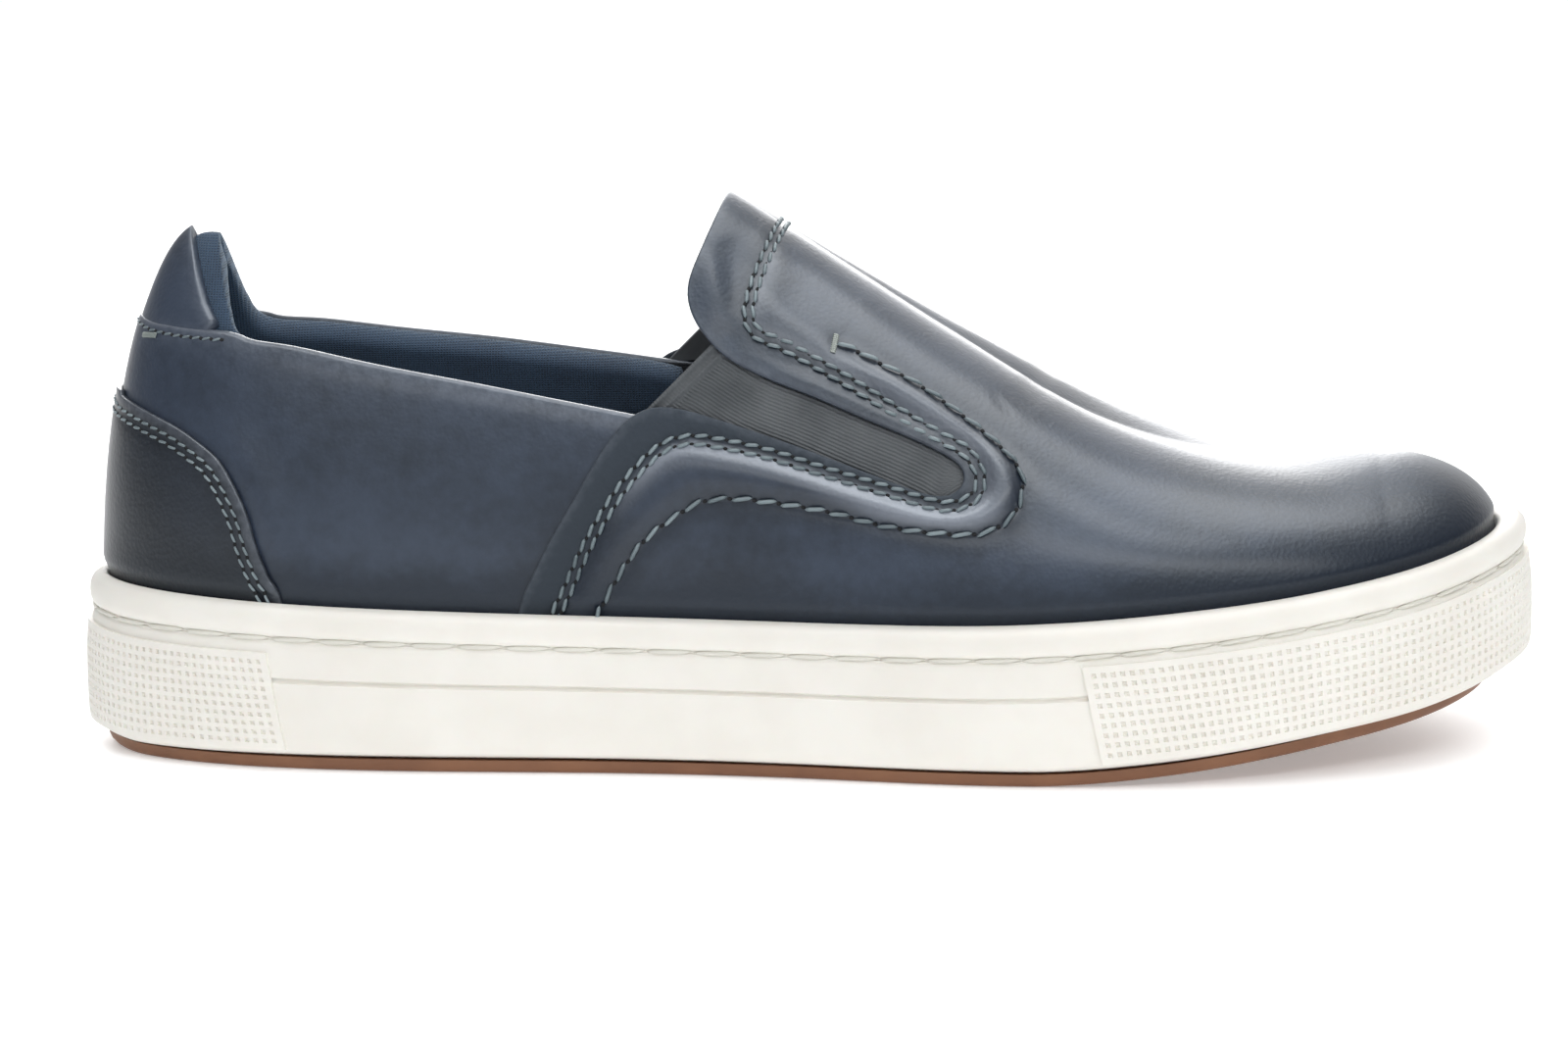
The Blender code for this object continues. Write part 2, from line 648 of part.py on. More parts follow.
def build_outsole(last):
    """Thin gum outsole with toe spring and blind grooves in its forefoot and heel flats."""
    x = last.ring[:, 0] / LENGTH
    inset = table(x, OUTSOLE_INSET, 1)
    top = lambda v: underside(v) + OUTSOLE_THICKNESS
    rings = [
        inset_ring(last, inset + 0.0012, underside),
        inset_ring(last, inset, lambda v: underside(v) + 0.0006),
        inset_ring(last, inset - 0.0004, top),
    ]
    outsole = ring_body("outsole", rings, "gum")
    for number, (station, half, shift) in enumerate(TREAD):
        x0 = station * LENGTH
        y0 = shift * BALL_WIDTH
        reach = half * BALL_WIDTH
        u = np.linspace(-1.0, 1.0, 7)
        bow = x0 + 0.006 * (1 - u * u)
        low = np.full(7, -0.002)
        high = underside(bow) + TREAD_DEPTH
        verts = []
        for z in (low, high):
            verts += list(zip(bow - TREAD_WIDTH / 2, y0 + reach * u, z))
            verts += list(zip(bow[::-1] + TREAD_WIDTH / 2, y0 + reach * u[::-1], z[::-1]))
        faces = [tuple(range(14))[::-1], tuple(range(14, 28))]
        faces += [(i, (i + 1) % 14, 14 + (i + 1) % 14, 14 + i) for i in range(14)]
        cutter = make_object("tread_cutter_%d" % number, np.array(verts), faces)
        combine(outsole, cutter, "DIFFERENCE")
    paint(outsole, "gum")
    return tidy(outsole)


def build_insole(last):
    """Footbed lying on the cup's floor inside the upper, its edge rolled up a little."""
    wall = np.linalg.norm(last.ring - last.feather, axis=1) - LEVEL_INNER + 2 * GAP
    lift = GAP
    rings = [
        inset_ring(last, wall + 0.0008, lambda v: cup_floor(v) + lift),
        inset_ring(last, wall, lambda v: cup_floor(v) + lift + 0.0012),
        inset_ring(last, wall, lambda v: cup_floor(v) + INSOLE_THICKNESS + 0.0010),
        inset_ring(last, wall + 0.0016, lambda v: cup_floor(v) + INSOLE_THICKNESS + 0.0016),
        inset_ring(last, wall + 0.0080, lambda v: cup_floor(v) + INSOLE_THICKNESS - 0.0002),
    ]
    return ring_body("insole", rings, "footbed")


def main():
    """Clear the file and build every piece of the shoe, centred over its own footprint."""
    for item in list(bpy.data.objects):
        bpy.data.objects.remove(item, do_unlink=True)
    last = Last()
    pieces = [
        build_outsole(last),
        build_cupsole(last),
        build_insole(last),
        build_upper(last),
        build_vamp(last),
        build_counter(last),
        build_tab(last),
        build_gore(last, "gore_outer", -1),
        build_gore(last, "gore_inner", 1),
        build_lining(last),
    ]
    points = np.vstack([[tuple(v.co) for v in item.data.vertices] for item in pieces])
    low = points.min(0)
    high = points.max(0)
    shift = np.array([(low[0] + high[0]) / 2, (low[1] + high[1]) / 2, low[2]])
    total = 0
    for item in pieces:
        for vertex in item.data.vertices:
            vertex.co = [a - b for a, b in zip(vertex.co, shift)]
        item.data.update()
        total += len(item.data.polygons)
        print(item.name, len(item.data.polygons))
    print("triangles", total, "size", (high - low).round(4), "shift", shift.round(5))


main()
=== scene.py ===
"""A right slip-on leather shoe on a stitched cupsole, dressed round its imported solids.

Metres, +X toe, -Y outer side, +Z up.  Stations are shares of LENGTH measured from the heel,
widths are shares of BALL_WIDTH, and heights are shares of the height scale at their station.
"""
from __future__ import annotations

import logging
import math
from dataclasses import dataclass, field
from enum import Enum

import bpy
import numpy as np
from mathutils import Matrix, Vector


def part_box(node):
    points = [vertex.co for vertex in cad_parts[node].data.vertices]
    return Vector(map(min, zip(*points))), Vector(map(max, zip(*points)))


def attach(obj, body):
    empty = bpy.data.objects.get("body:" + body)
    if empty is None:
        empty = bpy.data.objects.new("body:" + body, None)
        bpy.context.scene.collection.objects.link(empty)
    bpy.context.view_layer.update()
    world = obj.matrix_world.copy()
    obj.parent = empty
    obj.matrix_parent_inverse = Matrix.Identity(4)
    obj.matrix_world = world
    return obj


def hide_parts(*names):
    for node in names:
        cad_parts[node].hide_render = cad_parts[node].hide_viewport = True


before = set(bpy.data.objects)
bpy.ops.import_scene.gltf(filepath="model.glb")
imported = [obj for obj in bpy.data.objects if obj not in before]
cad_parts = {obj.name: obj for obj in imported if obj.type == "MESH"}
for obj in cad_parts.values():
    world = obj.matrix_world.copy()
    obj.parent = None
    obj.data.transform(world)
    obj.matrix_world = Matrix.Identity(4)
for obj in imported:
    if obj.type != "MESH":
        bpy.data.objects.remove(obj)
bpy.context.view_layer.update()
LOG = logging.getLogger("slip_on_shoe")

Array = np.ndarray
Piece = bpy.types.Object
Socket = bpy.types.NodeSocket
Colour = tuple[float, float, float]
Rows = tuple[tuple[float, ...], ...]

# Driving sizes of the shoe, the same as its solids have
LENGTH = 0.300
BALL_WIDTH = 0.108
HEEL_HEIGHT = 0.1090
INSTEP_HEIGHT = 0.1142
SOLE_HEIGHT = 0.0340
OUTSOLE_THICKNESS = 0.0027
CUP_FLOOR = 0.0120
INSOLE_THICKNESS = 0.0040
LEATHER = 0.0011
WALL = 0.0022
TAB_LEATHER = 0.0016
GORE_THICKNESS = 0.0012
LINING_PAD = 0.0060
GAP = 0.0003

# Levels of the layers, outward from the outer face of the vamp
LEVEL_BASE = -(LEATHER + GAP)
LEVEL_INNER = LEVEL_BASE - WALL
LEVEL_CUP = LEVEL_BASE + GAP
LEVEL_TAB = LEVEL_BASE - 0.0009
LEVEL_LINING = LEVEL_TAB - TAB_LEATHER - GAP

# Sole outline: station, outer side, inner side
PLAN: Rows = (
    (0.020, 0.1608, 0.1492),
    (0.070, 0.2691, 0.2581),
    (0.150, 0.3408, 0.3249),
    (0.260, 0.3724, 0.3450),
    (0.380, 0.3850, 0.3428),
    (0.500, 0.4280, 0.3679),
    (0.610, 0.4900, 0.4257),
    (0.700, 0.5060, 0.4900),
    (0.790, 0.4740, 0.5000),
    (0.870, 0.4020, 0.4540),
    (0.940, 0.2820, 0.3720),
    (0.982, 0.1500, 0.2720),
)
TOE_TIP = 0.066

# Sole in side view: station, underside, rim (shares of SOLE_HEIGHT)
SOLE_SIDE: Rows = (
    (0.00, 0.044, 1.074),
    (0.05, 0.000, 1.044),
    (0.12, 0.000, 1.012),
    (0.25, 0.000, 0.971),
    (0.40, 0.000, 0.941),
    (0.55, 0.000, 0.935),
    (0.66, 0.000, 0.956),
    (0.76, 0.056, 1.012),
    (0.86, 0.174, 1.100),
    (0.94, 0.291, 1.218),
    (1.00, 0.456, 1.368),
)
OUTSOLE_INSET: Rows = ((0.00, 0.0042), (0.10, 0.0030), (0.50, 0.0025), (0.85, 0.0040), (1.00, 0.0085))
PAD_HEIGHT = 0.0009
HEEL_PAD_END = 0.147
TOE_PAD_START = 0.712
PAD_LEAN = 0.0035
PIT_DEPTH = 0.00055
MOULD_LINE = 0.0009
# Tread grooves: stations of their two groups, pitch, bow and depth
TREAD_SPANS = ((0.055, 0.255), (0.500, 0.900))
TREAD_PITCH = 0.0215
TREAD_BOW = 0.006
TREAD_DEPTH = 0.0011

# Feather line: how far the upper stands in from the sole outline, and below the rim
FEATHER_HEEL = 0.0040
FEATHER_TOE = 0.0060
FEATHER_DROP = 0.0060

# Ridge of the last: station, height, shift to the inner side, roundness of the section
RIDGE: Rows = (
    (0.094, 1.000, 0.000, 2.06),
    (0.200, 1.040, 0.005, 2.02),
    (0.320, 1.068, 0.014, 2.00),
    (0.440, 1.017, 0.028, 2.00),
    (0.500, 0.919, 0.032, 2.00),
    (0.600, 0.747, 0.037, 2.05),
    (0.700, 0.588, 0.042, 2.15),
    (0.780, 0.525, 0.046, 2.25),
    (0.870, 0.519, 0.056, 2.35),
)

# Side-view lines of the upper: station, height share
BACK_LINE: Rows = (
    (-0.040, 0.842), (0.030, 0.838), (0.053, 0.822), (0.070, 0.816), (0.092, 0.813), (0.112, 0.812),
)
TAB_FRONT: Rows = (
    (0.0905, 1.110), (0.0860, 1.010), (0.0866, 0.975), (0.0888, 0.945), (0.0925, 0.900),
    (0.0962, 0.864), (0.0996, 0.846), (0.1032, 0.830), (0.1072, 0.812), (0.1110, 0.786),
)
COLLAR_LINE: Rows = (
    (0.122, 0.806), (0.132, 0.797), (0.164, 0.784), (0.219, 0.748), (0.286, 0.706),
    (0.337, 0.673), (0.392, 0.640),
)
WING_LEG: Rows = (
    (0.310, 0.120), (0.317, 0.287), (0.330, 0.366), (0.340, 0.419), (0.354, 0.479),
    (0.367, 0.539), (0.381, 0.595), (0.394, 0.634), (0.404, 0.647), (0.414, 0.654),
)
GORE_LOW: Rows = (
    (0.434, 0.645), (0.474, 0.614), (0.514, 0.580), (0.554, 0.544), (0.590, 0.512), (0.606, 0.501),
)
GORE_TIP: Rows = ((0.6163, 0.505), (0.6228, 0.520), (0.6246, 0.538), (0.6205, 0.556))
GORE_HIGH: Rows = (
    (0.605, 0.577), (0.584, 0.601), (0.552, 0.633), (0.520, 0.667), (0.488, 0.698), (0.461, 0.730),
)
TONGUE_BACK: Rows = (
    (0.4490, 0.758), (0.4377, 0.796), (0.4330, 0.824), (0.4313, 0.856), (0.4347, 0.881),
    (0.4400, 0.912), (0.4470, 0.959), (0.4517, 0.987), (0.4550, 1.010), (0.4600, 1.110),
)
# Lining pad: its free edge from over the ridge down the tab and along the collar, then its low edge back
PAD_TOP: Rows = (
    (0.1120, 1.110), (0.1105, 1.015), (0.1098, 0.975), (0.1096, 0.945), (0.1100, 0.900), (0.1107, 0.864),
    (0.1114, 0.840), (0.1126, 0.818), (0.1160, 0.800), (0.1250, 0.792), (0.1340, 0.788), (0.1640, 0.778),
    (0.2190, 0.742), (0.2860, 0.700), (0.3370, 0.667), (0.3920, 0.634), (0.4230, 0.608),
)
PAD_LOW: Rows = (
    (0.423, 0.565), (0.390, 0.530), (0.337, 0.525), (0.250, 0.550), (0.130, 0.590), (-0.040, 0.610),
)
COUNTER_TOP: Rows = (
    (-0.040, 0.688), (0.027, 0.684), (0.032, 0.675), (0.048, 0.661), (0.064, 0.646), (0.079, 0.630),
    (0.094, 0.607), (0.109, 0.577), (0.119, 0.538), (0.130, 0.477), (0.137, 0.413), (0.145, 0.359),
    (0.153, 0.313), (0.160, 0.120),
)
# Swells, dips and creases, given one by one: the tongue's rolled back edge and the dip before it
TONGUE_CREST: Rows = ((0.4425, 0.950), (0.4455, 0.918), (0.4495, 0.880), (0.4540, 0.825), (0.4630, 0.780))
TONGUE_DIP: Rows = ((0.4560, 0.930), (0.4600, 0.880), (0.4640, 0.830), (0.4700, 0.790))
# The swell and the dip beside the tack
TACK_SWELL: Rows = ((0.4830, 0.860), (0.4930, 0.815), (0.5100, 0.785), (0.5350, 0.748))
TACK_DIP: Rows = ((0.4950, 0.880), (0.5080, 0.830), (0.5260, 0.795), (0.5480, 0.765))
# Fine creases beyond the gore's tip and at its upper corner
TIP_CREASES: tuple[Rows, ...] = (
    ((0.6370, 0.668), (0.6475, 0.640), (0.6560, 0.625)),
    ((0.6430, 0.676), (0.6550, 0.648), (0.6660, 0.630)),
    ((0.6560, 0.672), (0.6650, 0.650), (0.6740, 0.636)),
)
CORNER_CREASES: tuple[Rows, ...] = (
    ((0.4530, 0.800), (0.4600, 0.788), (0.4680, 0.781)),
    ((0.4500, 0.788), (0.4580, 0.776), (0.4670, 0.769)),
    ((0.4520, 0.775), (0.4600, 0.765), (0.4690, 0.757)),
)
# The raised lip above the gore, the swell before the counter and the low one on the toe
GORE_LIP: Rows = (
    (0.463, 0.748), (0.492, 0.710), (0.524, 0.678), (0.557, 0.643), (0.590, 0.610), (0.612, 0.586),
)
COUNTER_SWELL: Rows = (
    (0.106, 0.630), (0.122, 0.585), (0.135, 0.540), (0.145, 0.475), (0.154, 0.400), (0.164, 0.300),
)
VAMP_SWELL: Rows = ((0.6500, 0.400), (0.7313, 0.385), (0.7830, 0.388), (0.8474, 0.421), (0.9000, 0.455))
# Bar tacks: station, height share, turn of the bar in degrees
TACKS: Rows = ((0.5326, 0.7534, 80.0), (0.0560, 0.7900, 5.0))
# The inner side stands a little higher: station, lift
INNER_LIFT: Rows = (
    (0.00, 0.000), (0.16, 0.000), (0.29, 0.019), (0.34, 0.026),
    (0.42, 0.034), (0.55, 0.024), (0.66, 0.010), (1.00, 0.000),
)
# Middle of the double row: from over the ridge, down the tongue, round the gore, to the rim
DOUBLE_ROW: Rows = (
    (0.5030, 1.0200), (0.4907, 0.9422), (0.4807, 0.8792), (0.4760, 0.8406), (0.4740, 0.8091),
    (0.4763, 0.7846), (0.4830, 0.7680), (0.4997, 0.7510), (0.5397, 0.6961), (0.5797, 0.6357),
    (0.6063, 0.5981), (0.6230, 0.5753), (0.6317, 0.5464), (0.6330, 0.5160), (0.6260, 0.4950),
    (0.6073, 0.4860), (0.5677, 0.5131), (0.5277, 0.5412), (0.4873, 0.5718), (0.4473, 0.5911),
    (0.4340, 0.5922), (0.4207, 0.5837), (0.4073, 0.5580), (0.3870, 0.4984), (0.3667, 0.4125),
    (0.3527, 0.3339), (0.3440, 0.2880), (0.3380, 0.2500),
)
# Outer single row of stitches round the gore: station, height share, from the tack to the rim
OUTER_ROW: Rows = (
    (0.533, 0.757), (0.552, 0.736), (0.592, 0.681), (0.625, 0.624), (0.645, 0.584), (0.659, 0.545),
    (0.661, 0.505), (0.653, 0.465), (0.634, 0.441), (0.607, 0.440), (0.568, 0.451), (0.528, 0.474),
    (0.474, 0.491), (0.447, 0.487), (0.434, 0.472), (0.414, 0.437), (0.400, 0.402), (0.386, 0.349),
    (0.373, 0.287), (0.370, 0.262),
)
# Middle line of the gore in side view: a length, the height there, and the fall per length
GORE_MIDDLE = (0.1245, 0.0798, 0.342)
# How far a lower piece runs on under the edge that covers it
UNDERLAP = 0.0030
# Ribs of the elastic
RIB_HEIGHT = 0.00036
RIB_PITCH = 0.00070
# Level of a row's path under the threads that lie on the vamp and the counter
THREAD_LEVEL = -0.0001
TIP_STRETCH = 0.0017
# Points closer than this count as touching
TOUCH = 2e-5


def read_table(at: Array, rows: Rows, column: int, level_runs: bool = False) -> Array:
    """One column of a table read by a smooth cubic through its rows.

    Each piece between two rows is a Hermite cubic whose end slopes are the weighted means of
    the slopes on both sides.

    Args:
        at: Where to read, in the units of the first column.
        rows: The table.
        column: Which column to read.
        level_runs: Keep a run of equal rows level right up to its ends.

    Returns:
        The values, one for each place.
    """
    data = np.asarray(rows, float)
    xs = data[:, 0]
    ys = data[:, column]
    step = np.diff(xs)
    slope = np.diff(ys) / step
    tangent = np.empty_like(ys)
    tangent[1:-1] = (slope[:-1] * step[1:] + slope[1:] * step[:-1]) / (step[1:] + step[:-1])
    tangent[0] = slope[0]
    tangent[-1] = slope[-1]
    if level_runs:
        tangent[1:-1] = np.where(slope[:-1] * slope[1:] > 0.0, tangent[1:-1], 0.0)
    i = np.clip(np.searchsorted(xs, at, side="right") - 1, 0, len(xs) - 2)
    h = step[i]
    u = np.clip((at - xs[i]) / h, 0.0, 1.0)
    start = (1 + 2 * u) * (1 - u) ** 2 * ys[i] + u * (1 - u) ** 2 * h * tangent[i]
    end = u * u * (3 - 2 * u) * ys[i + 1] + u * u * (u - 1) * h * tangent[i + 1]
    return start + end


def ease(value: Array, low: float, high: float) -> Array:
    """Smooth step from 0 at low to 1 at high, by 3u^2 - 2u^3."""
    u = np.clip((value - low) / (high - low), 0.0, 1.0)
    return u * u * (3.0 - 2.0 * u)


def closed_spline(points: Array, count: int) -> Array:
    """A closed cubic spline through points, as count points evenly spaced in its parameter.

    The second derivatives solve the usual cyclic system for chord-length knots.
    """
    p = np.asarray(points, float)
    n = len(p)
    chord = np.linalg.norm(np.roll(p, -1, 0) - p, axis=1)
    before = np.roll(chord, 1)
    matrix = np.diag(2 * (before + chord))
    rows = np.arange(n)
    matrix[rows, (rows - 1) % n] += before
    matrix[rows, (rows + 1) % n] += chord
    rise = (np.roll(p, -1, 0) - p) / chord[:, None]
    bend = np.linalg.solve(matrix, 6 * (rise - np.roll(rise, 1, 0)))
    knots = np.concatenate([[0.0], np.cumsum(chord)])
    t = np.linspace(0.0, knots[-1], count, endpoint=False)
    i = np.clip(np.searchsorted(knots, t, side="right") - 1, 0, n - 1)
    j = (i + 1) % n
    h = chord[i][:, None]
    a = (t - knots[i])[:, None]
    b = h - a
    curve = (bend[i] * b ** 3 + bend[j] * a ** 3) / (6 * h)
    return curve + (p[i] / h - bend[i] * h / 6) * b + (p[j] / h - bend[j] * h / 6) * a


def steps_of(line: Array) -> Array:
    """Lengths of a line's segments."""
    return np.linalg.norm(np.diff(line, axis=0), axis=1)


def lengths(line: Array) -> Array:
    """Length along a line up to each of its points."""
    return np.concatenate([[0.0], np.cumsum(steps_of(line))])


def read_line(line: Array, at: Array) -> Array:
    """Every column of a line read at lengths along its first three columns."""
    run = lengths(line[:, :3])
    return np.stack([np.interp(at, run, line[:, k]) for k in range(line.shape[1])], -1)


def along(curve: Array, shares: Array) -> Array:
    """An open curve, and anything carried with its first columns, read at shares of its length."""
    return read_line(curve, np.asarray(shares) * lengths(curve[:, :3])[-1])


def unit(vectors: Array) -> Array:
    """Vectors brought to length 1 along their last axis."""
    return vectors / np.maximum(np.linalg.norm(vectors, axis=-1), 1e-12)[..., None]


def height_scale(station: Array) -> Array:
    """Height scale of the upper: HEEL_HEIGHT at the heel, easing to INSTEP_HEIGHT."""
    return HEEL_HEIGHT + (INSTEP_HEIGHT - HEEL_HEIGHT) * ease(station, 0.10, 0.45)


def underside(x: Array) -> Array:
    """Height of the outsole's underside at a distance from the heel."""
    return read_table(x / LENGTH, SOLE_SIDE, 1, level_runs=True) * SOLE_HEIGHT


def rim(x: Array) -> Array:
    """Height of the sole's rim at a distance from the heel."""
    return read_table(x / LENGTH, SOLE_SIDE, 2) * SOLE_HEIGHT


def feather_inset(x: Array) -> Array:
    """How far the upper's foot stands in from the sole outline at a distance from the heel."""
    return FEATHER_HEEL + (FEATHER_TOE - FEATHER_HEEL) * x / LENGTH


def side_line(rows: Rows) -> Array:
    """Side-view line in metres from table rows of station and height share."""
    data = np.asarray(rows, float)
    return np.stack([data[:, 0] * LENGTH, data[:, 1] * height_scale(data[:, 0])], -1)


def smooth_line(points: Array, count: int) -> Array:
    """A smooth open curve through points by Catmull-Rom pieces, read at even spacing."""
    p = np.asarray(points, float)
    ends = np.vstack([2 * p[0] - p[1], p, 2 * p[-1] - p[-2]])
    a, b, c, d = (ends[k:len(ends) - 3 + k, None] for k in range(4))
    u = np.linspace(0.0, 1.0, 12, endpoint=False)[None, :, None]
    cubic = (2 * a - 5 * b + 4 * c - d) * u ** 2 + (3 * b - a - 3 * c + d) * u ** 3
    pieces = 0.5 * (2 * b + (c - a) * u + cubic)
    return along(np.vstack([pieces.reshape(-1, p.shape[1]), p[-1:]]), np.linspace(0.0, 1.0, count))


def drawn(rows: Rows, count: int) -> Array:
    """A table's side-view line, smoothed and read at even spacing."""
    return smooth_line(side_line(rows), count)


def nudged(line: Array, amount: float) -> Array:
    """A side-view line moved to its left by an amount."""
    way = unit(np.gradient(line, axis=0))
    return line + np.stack([-way[:, 1], way[:, 0]], -1) * amount


def inner_lift(flat: Array) -> Array:
    """How much higher a side-view point stands on the inner side of the shoe."""
    station = np.clip(flat[..., 0] / LENGTH, 0.0, 1.0)
    scale = height_scale(station)
    share = flat[..., 1] / scale
    fade = np.clip((0.90 - share) / 0.12, 0.0, 1.0) * np.clip((share - 0.33) / 0.12, 0.0, 1.0)
    return read_table(station, INNER_LIFT, 1) * scale * fade


@dataclass
class Outline:
    """A panel's outline in side view: the edge that shows, closed by far corners.

    Attributes:
        edge: The visible edge, an open line.
        corners: Points outside the shoe that close it.
        lifted: Whether it stands higher on the inner side.
        crossing: Share of the edge at which it passes over the ridge or round the heel.
    """

    edge: Array
    corners: Array
    lifted: bool = True
    crossing: float = 1.0

    def side(self, inner: bool) -> tuple[Array, Array]:
        """Edge and closed outline as they stand on one side."""
        edge = self.edge.copy()
        if inner and self.lifted:
            edge[:, 1] += inner_lift(edge)
        return edge, np.vstack([edge, self.corners])

    def measure(self, points: Array, inner: Array) -> tuple[Array, Array]:
        """Signed distance to the edge, positive inside, and the place along it.

        The distance is the least one to any segment of the edge, and the sign comes from
        counting the closed outline's crossings of a ray.

        Args:
            points: Points on the upper, any shape, last axis xyz.
            inner: Whether each point is on the inner side.

        Returns:
            Distances and lengths along the edge, of the points' shape.
        """
        shape = points.shape[:-1]
        flat = points.reshape(-1, 3)[:, [0, 2]]
        inner = np.broadcast_to(inner, shape).reshape(-1)
        distance = np.empty(len(flat))
        place = np.empty(len(flat))
        for flag in (False, True):
            pick = np.flatnonzero(inner == flag)
            for part in np.array_split(pick, max(1, len(pick) // 6000)):
                if len(part):
                    distance[part], place[part] = self._measure_side(flat[part], flag)
        return distance.reshape(shape), place.reshape(shape)

    def _measure_side(self, flat: Array, inner: bool) -> tuple[Array, Array]:
        """Signed distance and place for plane points of one side."""
        edge, ring = self.side(inner)
        a = edge[:-1]
        b = edge[1:]
        run = b - a
        length = steps_of(edge)
        off = flat[:, None] - a
        u = np.clip((off * run).sum(-1) / length ** 2, 0.0, 1.0)
        gap = np.linalg.norm(off - u[..., None] * run, axis=-1)
        best = gap.argmin(1)
        row = np.arange(len(flat))
        place = lengths(edge)[best] + u[row, best] * length[best]
        after = np.roll(ring, -1, 0)
        x = flat[:, None, 0]
        z = flat[:, None, 1]
        cuts = (ring[:, 1] > z) != (after[:, 1] > z)
        drop = np.where(after[:, 1] == ring[:, 1], 1e-12, after[:, 1] - ring[:, 1])
        cross = ring[:, 0] + (z - ring[:, 1]) * (after[:, 0] - ring[:, 0]) / drop
        inside = (cuts & (x < cross)).sum(1) % 2 == 1
        return np.where(inside, 1.0, -1.0) * gap[row, best], place


class Last:
    """The upper's surface: columns that rise from the feather line to the ridge."""

    def __init__(self) -> None:
        """Work out the dense outline of both sides, its normals and the station of each share."""
        rows = np.asarray(PLAN)
        outer = np.stack([rows[:, 0] * LENGTH, -rows[:, 1] * BALL_WIDTH], -1)
        inner = np.stack([rows[::-1, 0] * LENGTH, rows[::-1, 2] * BALL_WIDTH], -1)
        knots = np.vstack([[[0.0, 0.0]], outer, [[LENGTH, TOE_TIP * BALL_WIDTH]], inner])
        dense = closed_spline(knots, 8000)
        way = unit(np.roll(dense, -1, 0) - np.roll(dense, 1, 0))
        dense = np.column_stack([dense, np.zeros(len(dense)), way[:, 1], -way[:, 0]])
        dense = np.roll(dense, -int(dense[:, 0].argmin()), 0)
        tip = int(dense[:, 0].argmax())
        self.shares = np.linspace(0.0, 1.0, 4001)
        near = along(dense[:tip + 1], self.shares)
        far = along(np.vstack([dense[:1], dense[:tip - 1:-1]]), self.shares)
        self.sides = np.stack([near, far])
        mean = self.sides[:, :, 0].mean(0) / LENGTH
        mean = (mean - mean[0]) / (mean[-1] - mean[0])
        self.station = RIDGE[0][0] + (RIDGE[-1][0] - RIDGE[0][0]) * mean
        low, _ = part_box("cupsole")
        self.origin = np.array([self.sides[..., 0].min() - low.x, self.sides[..., 1].min() - low.y, 0.0])

    def outline(self, share: Array, inner: Array) -> tuple[Array, Array]:
        """Outline points and outward normals, each n by 2, at shares of a side's length."""
        values = [
            np.where(inner, np.interp(share, self.shares, self.sides[1, :, k]),
                     np.interp(share, self.shares, self.sides[0, :, k]))
            for k in (0, 1, 3, 4)
        ]
        return np.stack(values[:2], -1), unit(np.stack(values[2:], -1))

    def ring(self, steps: int) -> tuple[Array, Array]:
        """Outline points and normals right round, from the heel along the outer side first."""
        share = np.linspace(0.0, 1.0, steps + 1)
        near = self.outline(share, np.zeros(steps + 1, bool))
        far = self.outline(share, np.ones(steps + 1, bool))
        return np.vstack([near[0], far[0][-2:0:-1]]), np.vstack([near[1], far[1][-2:0:-1]])

    def share_at(self, station: float, inner: bool) -> float:
        """Share of a side's length at which its outline passes a station."""
        line = self.sides[int(inner), :, 0]
        return float(np.interp(station * LENGTH, line, self.shares))

    def _column(self, share: Array, inner: Array, level: Array) -> tuple[Array, ...]:
        """Foot x and y, low, and ridge x, y, z, and roundness, of the columns at shares."""
        ring, normal = self.outline(share, inner)
        feather = ring - normal * feather_inset(ring[..., 0])[..., None]
        foot = feather + normal * np.broadcast_to(level, share.shape)[..., None]
        station = np.interp(share, self.shares, self.station)
        slope = (self.ridge_height(station + 0.004) - self.ridge_height(station - 0.004)) / (0.008 * LENGTH)
        low = rim(feather[..., 0]) - FEATHER_DROP
        top_y = read_table(station, RIDGE, 2) * BALL_WIDTH
        top_z = self.ridge_height(station) + level * np.sqrt(1.0 + slope ** 2)
        power = 2.0 / read_table(station, RIDGE, 3)
        return foot[..., 0], foot[..., 1], low, station * LENGTH, top_y, top_z, power

    @staticmethod
    def ridge_height(station: Array) -> Array:
        """Height of the ridge at a station."""
        return read_table(station, RIDGE, 1) * height_scale(station)

    def place(self, share: Array, inner: Array, angle: Array, level: Array) -> Array:
        """Points of the surface.

        A column is a quarter of a superellipse: height is low plus the rise times the sine to
        the power, and the plan place runs from foot to ridge by 1 minus the cosine to it.

        Args:
            share: Share of the side's length, heel to toe.
            inner: True on the inner side.
            angle: Radians from the feather line (0) to the ridge (a right angle).
            level: Distance outward from the vamp's outer face.

        Returns:
            Points of the arrays' common shape, last axis xyz.
        """
        share, inner, angle, level = np.broadcast_arrays(share, inner, angle, level)
        fx, fy, low, tx, ty, tz, power = self._column(share, inner, level)
        rise = np.clip(np.sin(angle), 0.0, 1.0) ** power
        across = 1.0 - np.clip(np.cos(angle), 0.0, 1.0) ** power
        return np.stack([fx + (tx - fx) * across, fy + (ty - fy) * across, low + (tz - low) * rise], -1)

    def at_height(self, share: Array, inner: Array, height: Array, level: Array) -> Array:
        """Points of columns at a height: the rise gives the sine, and so the plan place."""
        share, inner, height, level = np.broadcast_arrays(share, inner, height, level)
        fx, fy, low, tx, ty, tz, power = self._column(share, inner, level)
        rise = np.clip((height - low) / (tz - low), 0.0, 0.99999)
        sine = rise ** (1.0 / power)
        across = 1.0 - np.sqrt(np.clip(1.0 - sine ** 2, 0.0, 1.0)) ** power
        return np.stack([fx + (tx - fx) * across, fy + (ty - fy) * across, height], -1)

